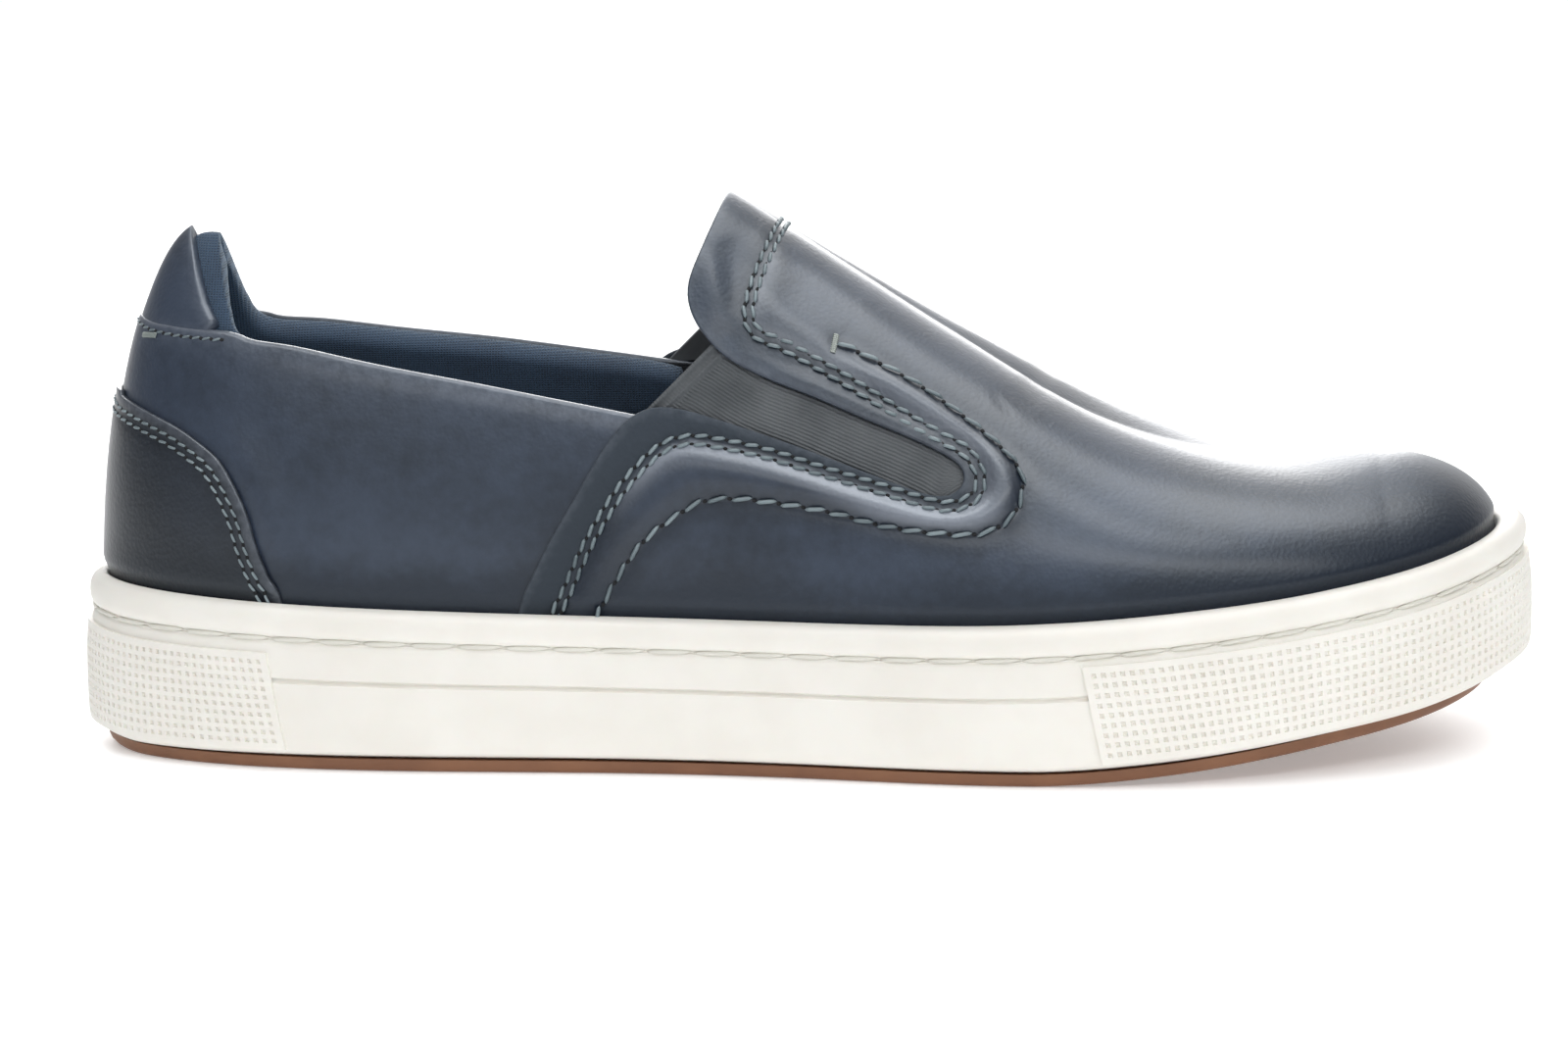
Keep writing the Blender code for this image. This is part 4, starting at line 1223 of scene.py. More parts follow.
class Tree(Nodes):
    """The node tree of one new material with a Principled shader."""

    def __init__(self, name: str) -> None:
        """Make the material with its shader."""
        self.material = bpy.data.materials.new(name)
        super().__init__(self.material)
        self.shader = self.tree.nodes["Principled BSDF"]

    def noise(self, where: Socket, scale: float, detail: float, rough: float) -> Socket:
        """Fractal noise at a scale per metre."""
        numbers = {"Scale": scale, "Detail": detail, "Roughness": rough}
        return self.add("ShaderNodeTexNoise", numbers, Vector=where).outputs["Fac"]

    def ramp(self, factor: Socket, stops: tuple[tuple[float, Colour], ...]) -> Socket:
        """Colour ramp through stops of place and colour."""
        node = self.add("ShaderNodeValToRGB")
        node.color_ramp.interpolation = "EASE"
        points = node.color_ramp.elements
        while len(points) < len(stops):
            points.new(0.5)
        for point, (place, colour) in zip(points, stops):
            point.position = place
            point.color = (*colour, 1.0)
        self.link(factor, node.inputs["Fac"])
        return node.outputs["Color"]

    def value_of(self, name: str) -> Socket:
        """A vertex value by its name; it is 0 on a piece that hasn't got it."""
        node = self.add("ShaderNodeAttribute")
        node.attribute_name = name
        return node.outputs["Fac"]

    def mix(self, amount: Socket, low: Socket, high: Colour) -> Socket:
        """Blend of a colour socket towards a fixed colour."""
        node = self.add("ShaderNodeMix")
        node.data_type = "RGBA"
        self.link(amount, node.inputs[0])
        self.link(low, node.inputs[6])
        node.inputs[7].default_value = (*high, 1.0)
        return node.outputs[2]

    def set(self, name: str, socket: Socket) -> None:
        """Link a socket to the shader."""
        self.link(socket, self.shader.inputs[name])

    def value(self, name: str, number: float | tuple[float, ...]) -> None:
        """Set a constant on the shader's own socket."""
        self.shader.inputs[name].default_value = number

    def bump(self, height: Socket, strength: float, distance: float) -> None:
        """Bump from a height socket."""
        node = self.add("ShaderNodeBump", {"Strength": strength, "Distance": distance}, Height=height)
        self.set("Normal", node.outputs["Normal"])


@dataclass(frozen=True)
class Plain:
    """A moulded or spun finish: two close colours, one noise of bump."""

    name: str
    dark: Colour
    light: Colour
    roughness: float
    grain: float = 300.0
    strength: float = 0.08
    depth: float = 0.0004
    subsurface: float = 0.0

    def make(self) -> bpy.types.Material:
        """Node tree: a broad noise mixes the two colours, a fine one makes the grain."""
        tree = Tree(self.name)
        where = tree.add("ShaderNodeTexCoord").outputs["Object"]
        broad = tree.noise(where, 60.0, 3.0, 0.5)
        tree.set("Base Color", tree.ramp(broad, ((0.3, self.dark), (0.7, self.light))))
        tree.value("Roughness", self.roughness)
        if self.subsurface:
            tree.value("Subsurface Weight", self.subsurface)
            tree.value("Subsurface Scale", 0.002)
        tree.bump(tree.noise(where, self.grain, 3.0, 0.6), self.strength, self.depth)
        return tree.material


# A wave texture repeats at this number over its scale
WAVE_SCALE = 2.0 * math.pi / 20.0


@dataclass(frozen=True)
class Woven:
    """A cloth: two sets of fine bands make the weave, a broad noise its uneven dye."""

    name: str
    dark: Colour
    light: Colour
    pitch: float = 0.0006
    weft: str = "Z"
    strength: float = 0.6

    def make(self) -> bpy.types.Material:
        """Node tree: the weave's height is the greater of the two sets of bands."""
        tree = Tree(self.name)
        where = tree.add("ShaderNodeTexCoord").outputs["Object"]
        broad = tree.noise(where, 70.0, 4.0, 0.6)
        bands = []
        for axis, share in (("X", 1.0), (self.weft, 0.8)):
            numbers = {"Scale": WAVE_SCALE / (self.pitch * share), "Distortion": 1.2, "Detail Scale": 2.0}
            wave = tree.add("ShaderNodeTexWave", numbers, Vector=where)
            wave.bands_direction = axis
            bands.append(wave.outputs["Fac"])
        weave = tree.math("MAXIMUM", *bands)
        blend = tree.math("MULTIPLY_ADD", weave, 0.45, tree.math("MULTIPLY", broad, 0.7))
        tree.set("Base Color", tree.ramp(blend, ((0.25, self.dark), (0.80, self.light))))
        tree.value("Roughness", 0.88)
        tree.value("Sheen Weight", 0.45)
        tree.value("Sheen Tint", (0.70, 0.86, 1.0, 1.0))
        tree.value("Sheen Roughness", 0.40)
        tree.bump(weave, self.strength, 0.0003)
        return tree.material


class Finish(Enum):
    """Every finish of the shoe by the piece that wears it."""

    QUARTER = Leather("quarter_leather")
    VAMP = Leather("vamp_leather")
    COUNTER = Leather("counter_leather", (0.0035, 0.0054, 0.0100), (0.0125, 0.0172, 0.0280))
    TAB = Leather("tab_leather")
    ELASTIC = Plain("ribbed_elastic", (0.064, 0.072, 0.080), (0.120, 0.131, 0.141), 0.80, 2600.0, 0.3, 0.0002)
    KNIT = Woven("collar_knit", (0.0055, 0.0140, 0.0310), (0.0290, 0.0640, 0.1180))
    BOOT = Woven("boot_lining", (0.0040, 0.0060, 0.0100), (0.0090, 0.0130, 0.0210), 0.0008)
    RUBBER = Plain("cup_rubber", (0.86, 0.835, 0.775), (0.90, 0.88, 0.825), 0.50, 900.0, 0.05, 0.0002, 0.05)
    GUM = Plain("gum_rubber", (0.185, 0.076, 0.034), (0.235, 0.102, 0.046), 0.50, 700.0, 0.06, 0.0003)
    FOOTBED = Woven("footbed_cloth", (0.0090, 0.0120, 0.0190), (0.0220, 0.0280, 0.0420), 0.0009, "Y")
    THREAD = Plain("waxed_thread", (0.105, 0.140, 0.158), (0.240, 0.300, 0.325), 0.42, 5000.0, 0.4, 0.0002)
    TACK = Plain("tack_thread", (0.200, 0.235, 0.225), (0.420, 0.460, 0.430), 0.42, 5000.0, 0.4, 0.0002)
    WELT_THREAD = Plain("welt_thread", (0.740, 0.725, 0.660), (0.800, 0.785, 0.720), 0.6, 3000.0, 0.3, 0.0002)
    # Painted shade: near-black discs stand in for the shade inside each needle hole
    HOLE = Plain("needle_hole_shade", (0.004, 0.005, 0.007), (0.006, 0.007, 0.009), 0.9, 500.0, 0.02, 0.0001)


def dress(item: Piece, finish: Finish, slot: str, *nodes: str) -> Piece:
    """Give a piece its finish, seat it on the shoe's one body, and hide the CAD nodes it stands for.

    Args:
        item: The piece.
        finish: Its finish.
        slot: Not used.
        nodes: CAD nodes it stands for.

    Returns:
        The piece.
    """
    made = bpy.data.materials.get(finish.value.name) or finish.value.make()
    item.data.materials.append(made)
    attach(item, "root")
    if nodes:
        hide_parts(*nodes)
    LOG.info("%s: %d faces", item.name, len(item.data.polygons))
    return item


@dataclass
class Thread:
    """Stitches laid along a path, each a short rope end sunk at both ends.

    Attributes:
        pitch: Distance from hole to hole.
        radius: Radius of the thread.
        gap: Part of the pitch left bare at each needle hole.
        slant: Turn of each stitch against the row, degrees.
        proud: Height of its middle over the leather.
        reach: Length of each stitch; 0 takes it from the pitch and the gap.
        rings: Rings of points along each stitch.
        sides: Points in each of them.
        hole_sides: Points round each needle hole.
    """

    pitch: float = 0.0035
    radius: float = 0.00041
    gap: float = 0.16
    slant: float = 11.0
    proud: float = 0.00022
    reach: float = 0.0
    rings: int = 9
    sides: int = 6
    hole_sides: int = 8

    def _count(self, points: Array) -> int:
        """How many stitches fit a row."""
        return max(1, int(round(lengths(points)[-1] / self.pitch)))

    def _closed(self, bodies: Array, flip: bool) -> Sheet:
        """Closed bodies from rings of points (body, ring, side, xyz), each with two caps."""
        count, rings, sides = bodies.shape[:3]
        faces = ring_faces(rings, sides)
        caps = np.array([np.arange(sides)[::-1], (rings - 1) * sides + np.arange(sides)])
        if flip:
            faces = faces[:, ::-1]
            caps = caps[:, ::-1]
        shift = (np.arange(count) * rings * sides)[:, None, None]
        return Sheet(bodies.reshape(-1, 3), [(f + shift).reshape(-1, f.shape[1]) for f in (faces, caps)])

    def along(self, points: Array, normals: Array) -> Sheet:
        """All stitches of a row as one mesh.

        Each stitch is a tube whose radius follows the square root of 1 - s^4 from end to end,
        where s runs from -1 to 1; its height over the leather falls by 0.9 radius times s^4.

        Args:
            points: Points along the row.
            normals: Outward normals there.

        Returns:
            The stitches' mesh.
        """
        count = self._count(points)
        pitch = lengths(points)[-1] / count
        middle = (np.arange(count) + 0.5) * pitch
        line = np.column_stack([points, normals])
        half = 0.5 * pitch * (1.0 - self.gap)
        a, b, m = (read_line(line, at) for at in (middle - half, middle + half, middle))
        up = unit(m[:, 3:])
        way = b[:, :3] - a[:, :3]
        long = np.linalg.norm(way, axis=1)
        way /= long[:, None]
        if self.reach:
            long = np.full(count, self.reach)
        side = np.cross(up, way)
        way = np.cos(np.radians(self.slant)) * way + np.sin(np.radians(self.slant)) * side
        side = np.cross(up, way)
        s = np.linspace(-1.0, 1.0, self.rings)
        taper = np.clip(1.0 - s ** 4, 0.02, 1.0) ** 0.5
        lift = self.proud + self.radius * 0.35 - 0.9 * self.radius * s ** 4
        turn = np.linspace(0.0, 2.0 * np.pi, self.sides, endpoint=False)
        centre = m[:, None, :3] + way[:, None] * (s * 0.5)[None, :, None] * long[:, None, None]
        centre = centre + up[:, None] * lift[None, :, None]
        round_ = (np.cos(turn)[None, None, :, None] * side[:, None, None]
                  + np.sin(turn)[None, None, :, None] * up[:, None, None])
        tube = centre[:, :, None] + round_ * (self.radius * taper)[None, :, None, None]
        return self._closed(tube, flip=True)

    def hole_shades(self, points: Array, normals: Array, radius: float = 0.00050) -> Sheet:
        """Dark flat domes of three rings at the ends of the stitches, painted shade for each needle hole."""
        at = np.linspace(0.0, lengths(points)[-1], self._count(points) + 1)
        m = read_line(np.column_stack([points, normals]), at)
        up = unit(m[:, 3:])
        way = unit(np.gradient(m[:, :3], axis=0))
        side = np.cross(up, way)
        turn = np.linspace(0.0, 2.0 * np.pi, self.hole_sides, endpoint=False)
        disc = np.cos(turn)[None, :, None] * way[:, None] + 0.8 * np.sin(turn)[None, :, None] * side[:, None]
        rings = []
        for share, lift in ((1.0, -0.0003), (0.95, 0.00004), (0.5, 0.00007)):
            rings.append(m[:, None, :3] + disc * radius * share + up[:, None] * lift)
        return self._closed(np.stack(rings, 1), flip=False)


@dataclass
class Assembly:
    """A group of the shoe's pieces.

    Attributes:
        last: The last that they are built round.
    """

    last: Last

    def piece(self, name: str, sheet: Sheet, finish: Finish, slot: str, *nodes: str) -> Piece:
        """Make a piece of a mesh in the frame, and dress it."""
        return dress(make_piece(name, sheet, self.last.origin), finish, slot, *nodes)


@dataclass
class Sole(Assembly):
    """Gum outsole and stitched cupsole with its textured pads.

    Attributes:
        side_steps: Samples along one side of the outline.
        wall: Profile of the cup's wall, one row for each ring.
    """

    side_steps: int = 330

    # Wall of the cup, bottom to rim: share of its height, inset, and shares of MOULD_LINE and PAD_HEIGHT
    wall: Rows = (
        (0.000, 0.0022, 0.0, 1.0), (0.018, 0.0010, 0.0, 1.0), (0.045, 0.0003, 0.0, 1.0),
        (0.100, 0.0001, 0.0, 1.0), (0.250, 0.0000, 0.0, 1.0), (0.470, 0.0000, 0.0, 1.0),
        (0.485, 0.0000, 0.0, 1.0), (0.495, 0.0001, 0.8, 1.0), (0.505, 0.0001, 1.0, 1.0),
        (0.515, 0.0001, 0.8, 1.0), (0.525, 0.0001, 0.0, 1.0), (0.600, 0.0003, 0.0, 1.0),
        (0.700, 0.0006, 0.0, 1.0), (0.735, 0.0008, 0.0, 1.0), (0.750, 0.0011, 0.0, 1.0),
        (0.758, 0.0016, 0.0, 0.7), (0.763, 0.0022, 0.0, 0.0), (0.772, 0.0026, 0.0, 0.0),
        (0.785, 0.0026, 0.0, 0.0), (0.793, 0.0021, 0.0, 0.0), (0.803, 0.0016, 0.0, 0.0),
        (0.835, 0.0012, 0.0, 0.0), (0.870, 0.0011, 0.0, 0.0), (0.910, 0.0012, 0.0, 0.0),
        (0.940, 0.0015, 0.0, 0.0), (0.965, 0.0020, 0.0, 0.0), (0.985, 0.0028, 0.0, 0.0),
        (0.997, 0.0038, 0.0, 0.0),
    )

    @staticmethod
    def base(x: Array) -> Array:
        """Height of the cup's underside."""
        return underside(x) + OUTSOLE_THICKNESS + GAP

    def ring(self, inset: Array, height: Array | None, share: float = 0.0) -> Array:
        """One ring: the outline moved in by an inset, at a height or a share of the wall."""
        outline, normal = self.last.ring(self.side_steps)
        plan = outline - normal * np.broadcast_to(inset, (len(outline),))[:, None]
        if height is None:
            low = self.base(plan[:, 0])
            height = low + (rim(plan[:, 0]) - low) * share
        return np.column_stack([plan, height])

    def cup(self) -> Piece:
        """Cupsole: wall with its groove, stitch channel, rolled rim, inner wall and floor.

        Each row of the wall table is one ring, and the rings are joined by quads.
        """
        x = self.last.ring(self.side_steps)[0][:, 0]
        start, end = HEEL_PAD_END * LENGTH, TOE_PAD_START * LENGTH
        between = ease(x, start - 0.0005, start) * (1.0 - ease(x, end, end + 0.0005))
        rings = []
        for share, inset, groove, wall in self.wall:
            depth = inset + PAD_HEIGHT * wall + MOULD_LINE * groove * between
            rings.append(self.ring(depth, None, share))
        inner = feather_inset(x) - LEVEL_CUP
        for offset, drop in ((-0.0012, 0.0), (-0.0005, 0.0001), (0.0, 0.0006), (0.0, 0.004), (0.0, 0.010)):
            plan = self.ring(inner + offset, 0.0 * x)
            plan[:, 2] = rim(plan[:, 0]) - drop
            rings.append(plan)
        low = self.ring(inner, 0.0 * x)
        low[:, 2] = underside(low[:, 0]) + CUP_FLOOR
        rings.append(low)
        points = np.vstack(rings)
        count = len(x)
        side = ring_faces(len(rings), count)
        floor = ladder((len(rings) - 1) * count, self.side_steps)
        bottom = ladder(0, self.side_steps)[:, ::-1]
        sheet = Sheet(points, [np.vstack([side, floor, bottom])], sharp=50.0)
        return self.piece("cup_sole", sheet, Finish.RUBBER, "rubber", "cupsole")

    def outsole(self) -> Piece:
        """Thin gum outsole: rounded side and a tread of bowed grooves below.

        The underside is a grid whose rows join the two sides; each groove sinks by a
        smoothed box across its bowed centre line.
        """
        x = self.last.ring(self.side_steps)[0][:, 0]
        inset = read_table(x / LENGTH, OUTSOLE_INSET, 1)
        rings = []
        profile = ((0.0016, 0.0), (0.0008, 0.00015), (0.0003, 0.0006), (0.0, 0.0012), (-0.0004, 0.0027))
        for extra, lift in profile:
            plan = self.ring(inset + extra, 0.0 * x)
            plan[:, 2] = underside(plan[:, 0]) + lift
            rings.append(plan)
        n = self.side_steps
        count = 2 * n
        side = ring_faces(len(rings), count)
        top = ladder((len(rings) - 1) * count, n)
        a = rings[0][np.arange(1, n)]
        b = rings[0][(count - np.arange(1, n)) % count]
        s = np.linspace(0.0, 1.0, 61)[1:-1, None]
        plane = a[:, None] * (1.0 - s) + b[:, None] * s
        depth = np.zeros(plane.shape[:2])
        inward = np.minimum(s[:, 0], 1.0 - s[:, 0])[None, :] * np.abs(a[:, 1] - b[:, 1])[:, None]
        margin = ease(inward, 0.006, 0.008)
        stations = np.concatenate([np.arange(*span, TREAD_PITCH) for span in TREAD_SPANS])
        for station in stations:
            bow = plane[..., 0] - station * LENGTH - TREAD_BOW * (1.0 - (plane[..., 1] / 0.050) ** 2)
            depth = np.maximum(depth, TREAD_DEPTH * (1.0 - ease(np.abs(bow), 0.0011, 0.0018)) * margin)
        plane[..., 2] = underside(plane[..., 0]) + depth
        grid = np.concatenate([a[:, None], plane, b[:, None]], 1)
        across = grid.shape[1]
        start = len(rings) * count
        number = np.arange(start, start + grid.shape[0] * across).reshape(grid.shape[0], across)
        number[:, 0] = np.arange(1, n)
        number[:, -1] = (count - np.arange(1, n)) % count
        quads = cells(number)[:, [0, 3, 2, 1]]
        heel = np.stack([np.zeros(across - 1, int), number[0, 1:], number[0, :-1]], -1)
        toe = np.stack([np.full(across - 1, n), number[-1, :-1], number[-1, 1:]], -1)
        points = np.vstack(rings + [grid.reshape(-1, 3)])
        sheet = Sheet(points, [np.vstack([side, top, quads]), np.vstack([heel, toe])], sharp=55.0)
        return self.piece("gum_outsole", sheet, Finish.GUM, "gum", "outsole")

    def pad(self, name: str, at_heel: bool, rows: int, pitch: float) -> Piece:
        """Raised rubber pad with rows of square pits, wrapped round the heel or the toe.

        The pad is a grid in the length round the outline and the height up the wall.  Each
        cell has a pit, deep between 0.34 and 0.66 of it both ways, with sides that slope up to
        0.24 and 0.76.  The pad's end leans by PAD_LEAN over its height.

        Args:
            name: Name of the piece.
            at_heel: Round the heel; otherwise round the toe.
            rows: Rows of pits.
            pitch: Distance between columns of pits.
        """
        last = self.last
        totals = [float(steps_of(side[:, :2]).sum()) for side in last.sides]
        ends = [last.share_at(HEEL_PAD_END if at_heel else TOE_PAD_START, inner) for inner in (False, True)]
        reach = [(end if at_heel else 1.0 - end) * total for end, total in zip(ends, totals)]
        columns = [int(round(r / pitch)) for r in reach]
        cell = np.array([0.0, 0.24, 0.34, 0.66, 0.76])
        c = (np.arange(-columns[0], columns[1])[:, None] + cell).ravel()
        c = np.concatenate([c, [float(columns[1])]])
        r = np.concatenate([(np.arange(rows)[:, None] + cell).ravel(), [float(rows)]])
        pit_c = self._pit(c)
        pit_r = self._pit(r)
        margin = 0.0010
        length = np.where(c < 0, c * reach[0] / columns[0], c * reach[1] / columns[1])
        c_all = np.concatenate([[length[0] - margin] * 2, length, [length[-1] + margin] * 2])
        low, high = (0.075, 0.655) if at_heel else (0.075, 0.690)
        share = low + (high - low) * r / rows
        r_all = np.concatenate([[low - 0.03] * 2, share, [high + 0.03] * 2])
        proud = np.full((len(c_all), len(r_all)), PAD_HEIGHT)
        proud[2:-2, 2:-2] -= PIT_DEPTH * pit_c[:, None] * pit_r[None, :]
        proud[[0, -1], :] = -0.0002
        proud[:, [0, -1]] = -0.0002
        inner = c_all > 0
        total = np.where(inner, totals[1], totals[0])
        slant = PAD_LEAN * (share.mean() - r_all)[None, :] / (high - low) * np.sign(c_all)[:, None]
        slant = slant * ease(np.abs(c_all), 0.5 * min(reach), min(reach))[:, None]
        slant = slant * (1.0 if at_heel else -1.0)
        walk = np.abs(c_all[:, None] + slant) / total[:, None]
        walk = walk if at_heel else 1.0 - walk
        ring, normal = last.outline(walk, np.broadcast_to(inner[:, None], walk.shape))
        plan_rows = np.asarray(self.wall)
        inset = np.interp(r_all, plan_rows[:, 0], plan_rows[:, 1])[None, :] + PAD_HEIGHT - proud
        plan = ring - normal * inset[..., None]
        low_z = self.base(plan[..., 0])
        z = low_z + (rim(plan[..., 0]) - low_z) * r_all[None, :]
        points = np.concatenate([plan, z[..., None]], -1).reshape(-1, 3)
        faces = ring_faces(len(c_all), len(r_all), closed=False)
        if not at_heel:
            faces = faces[:, ::-1]
        return self.piece(name, Sheet(points, [faces], sharp=35.0), Finish.RUBBER, "rubber")

    @staticmethod
    def _pit(at: Array) -> Array:
        """1 inside a pit's span of its cell and 0 outside."""
        part = at - np.floor(at + 1e-9)
        return ((part > 0.30) & (part < 0.70)).astype(float)

    def welt_thread(self) -> Piece:
        """Long stitches in the channel below the rim."""
        ring = self.ring(np.full(2 * self.side_steps, 0.0022), None, 0.7785)
        normal = self.last.ring(self.side_steps)[1]
        loop = np.vstack([ring, ring[:1]])
        up = np.column_stack([normal, np.zeros(len(normal))])
        thread = Thread(pitch=0.0098, radius=0.00048, gap=0.03, slant=1.5, proud=0.0)
        laid = thread.along(loop, np.vstack([up, up[:1]]))
        return self.piece("welt_stitches", laid, Finish.WELT_THREAD, "rubber")

    def build(self) -> None:
        """Every piece of the sole."""
        self.outsole()
        self.cup()
        self.pad("heel_texture", True, 10, 0.00195)
        self.pad("toe_texture", False, 9, 0.00192)
        self.welt_thread()


@dataclass
class Upper(Assembly):
    """Leather panels, their stitches, the gores and the linings.

    Attributes:
        skin: The fine grid over the last.
        pattern: The panels' outlines.
        double_gap: Distance between the two rows of the double row.
        counter_rows: Distances of the counter's two rows from its edge.
    """

    skin: Skin
    pattern: Pattern = field(default_factory=Pattern)
    double_gap: float = 0.0017
    counter_rows: tuple[float, float] = (0.0024, 0.0041)

    def panel(self, name: str, outline: Outline, level: float, thickness: float, roll: float,
              finish: Finish, slot: str, node: str, relief: Relief, tuck: float) -> Piece:
        """Cut one leather panel and dress it; the arguments are those of Skin.cut and dress."""
        sheet = self.skin.cut(outline, level, thickness, roll, relief, tuck)
        return self.piece(name, sheet, finish, slot, node)

    def quarter(self) -> Piece:
        """Quarter round the back and both sides."""
        relief = Relief(hem=0.0008, wear_and_sheen=0.0021, folds=(Fold(COUNTER_SWELL, 0.0036, -0.0005),))
        return self.panel("quarter_panel", self.pattern.quarter(), LEVEL_BASE, WALL, 0.0014,
                          Finish.QUARTER, "navy_upper", "upper", relief, 0.0004)

    def vamp(self) -> Piece:
        """Vamp with wings and tongue, its padded band and stitch grooves."""
        lanes = (self.pattern.double_row(), self.pattern.outer_row())
        folds = [Fold(TONGUE_CREST, 0.0030, -0.0007), Fold(TONGUE_DIP, 0.0035, 0.0006),
                 Fold(TACK_SWELL, 0.0040, -0.0005), Fold(TACK_DIP, 0.0035, 0.0002),
                 Fold(GORE_LIP, 0.0016, -0.0006), Fold(VAMP_SWELL, 0.0085, -0.0007)]
        folds += [Fold(line, 0.0008, 0.00016) for line in TIP_CREASES + CORNER_CREASES]
        relief = Relief(lanes=lanes, puff=0.0015, folds=tuple(folds), wear_and_sheen=0.0005)
        return self.panel("vamp_panel", self.pattern.vamp(), 0.0, LEATHER, 0.0005,
                          Finish.VAMP, "navy_vamp", "vamp", relief, 0.0011)

    def counter(self) -> Piece:
        """Heel counter cover."""
        relief = Relief(insets=(sum(self.counter_rows) / 2,))
        return self.panel("counter_panel", self.pattern.counter(), 0.0, LEATHER, 0.0004,
                          Finish.COUNTER, "navy_counter", "heel_counter", relief, 0.0011)

    def tab(self) -> Piece:
        """Pull tab, its tip drawn up a little."""
        sheet = self.skin.cut(self.pattern.tab(), LEVEL_TAB + 0.0004, TAB_LEATHER + 0.0004, 0.0015, Relief())
        stretch_tip(sheet.points)
        return self.piece("tab_panel", sheet, Finish.TAB, "navy_tab", "heel_tab")

    def lining(self) -> Piece:
        """Thin lining of the whole boot below the collar pad and under the vamp."""
        collar = self.pattern.collar
        back = drawn(BACK_LINE, 30)
        slot = nudged(self.pattern.slot, -UNDERLAP)
        tongue = self.pattern.tongue[8:] + np.array([0.0012, 0.0])
        edge = np.vstack([back, collar, slot, tongue])
        edge[:, 1] -= np.where(edge[:, 0] < 0.42 * LENGTH, 0.0012, 0.0)
        shape = Outline(edge, corners((0.47, 1.5), (1.10, 1.5), (1.10, 0.05), (-0.04, 0.05)))
        coarse = Skin(self.last, 150, 44)
        sheet = coarse.cut(shape, LEVEL_INNER + 0.0002, 0.0006, 0.0002)
        return self.piece("boot_lining", sheet, Finish.BOOT, "navy_upper", "upper")

    def gore(self, inner: bool) -> Piece:
        """Ribbed elastic between the wing and the vamp on one side.

        The sheet runs from its free back edge to the tip: the side-view point at (a, b) is the
        low line at a times 1 - b plus the high line at a times b.  Its height over the level
        is a row of ribs, the absolute sine of the distance from the high line to the power
        0.7, and two raised selvage cords across them.
        """
        count, across = 140, 241
        low = drawn(((0.398, 0.645), (0.414, 0.648)) + GORE_LOW, 300)
        high = drawn(GORE_HIGH[:-1] + ((0.462, 0.738), (0.452, 0.752)), 300)[::-1]
        low = nudged(low, -0.0022)
        high = nudged(high, 0.0022)
        a = np.concatenate([np.linspace(0.0, 0.085, 45, endpoint=False), np.linspace(0.085, 1.0, count - 45)])
        b = np.linspace(0.0, 1.0, across)
        tip = np.array([[0.6345 * LENGTH + 0.002, 0.530 * INSTEP_HEIGHT]])
        low = along(np.vstack([low, tip]), a)
        high = along(np.vstack([high, tip + [[0.0, 0.002]]]), a)
        flat = low[:, None] * (1.0 - b[:, None]) + high[:, None] * b[:, None]
        if inner:
            flat[..., 1] += inner_lift(flat)
        sunk = LEVEL_BASE - 0.0001 - 0.0011 * ease(b, 0.70, 1.0)[None, :] * ease(a, 0.0, 0.15)[:, None]
        points = self.last.settle(flat, np.full(flat.shape[:2], inner), sunk)
        di = np.gradient(points, axis=0)
        dj = np.gradient(points, axis=1)
        normal = unit(np.cross(di, dj) * (-1.0 if inner else 1.0))
        apart = np.linalg.norm(flat[:, :, None] - high[None, None, ::4], axis=-1).min(-1)
        height = RIB_HEIGHT * np.abs(np.sin(np.pi * apart / RIB_PITCH)) ** 0.7
        cord = np.exp(-(((a[:, None] - 0.012) / 0.010) ** 2)) + np.exp(-(((a[:, None] - 0.050) / 0.010) ** 2))
        height = height * (0.3 + 0.7 * ease(a, 0.06, 0.075))[:, None] + 0.0006 * np.clip(cord, 0.0, 1.0)
        top = points + normal * height[..., None]
        floor = points - normal * GORE_THICKNESS
        faces = ring_faces(count, across, closed=False)
        faces = faces[:, ::-1] if not inner else faces
        total = count * across
        border = np.concatenate([
            np.arange(across), (np.arange(1, count) * across + across - 1),
            ((count - 1) * across + np.arange(across - 2, -1, -1)), (np.arange(count - 2, 0, -1) * across),
        ])
        nxt = np.roll(border, -1)
        wall = np.stack([border, nxt, nxt + total, border + total], -1)
        wall = wall[:, ::-1] if inner else wall
        sheet = Sheet(np.vstack([top.reshape(-1, 3), floor.reshape(-1, 3)]),
                      [np.vstack([faces, faces[:, ::-1] + total, wall])])
        side = "inner" if inner else "outer"
        return self.piece(f"elastic_{side}", sheet, Finish.ELASTIC, "elastic", f"gore_{side}")

    def collar_pad(self) -> Piece:
        """Padded knit lining inside the collar and the tab: a plump sheet cut from the last."""
        edge = np.vstack([drawn(PAD_TOP, 120), drawn(PAD_LOW, 60)])
        shape = Outline(round_corners(edge, 20), corners((-0.04, 1.5)))
        sheet = self.skin.cut(shape, LEVEL_LINING, LINING_PAD - 0.0002, 0.0028, crest=0.0008)
        stretch_tip(sheet.points, 1.5)
        item = make_piece("collar_pad", sheet, self.last.origin)
        return dress(item, Finish.KNIT, "knit", "collar_lining")

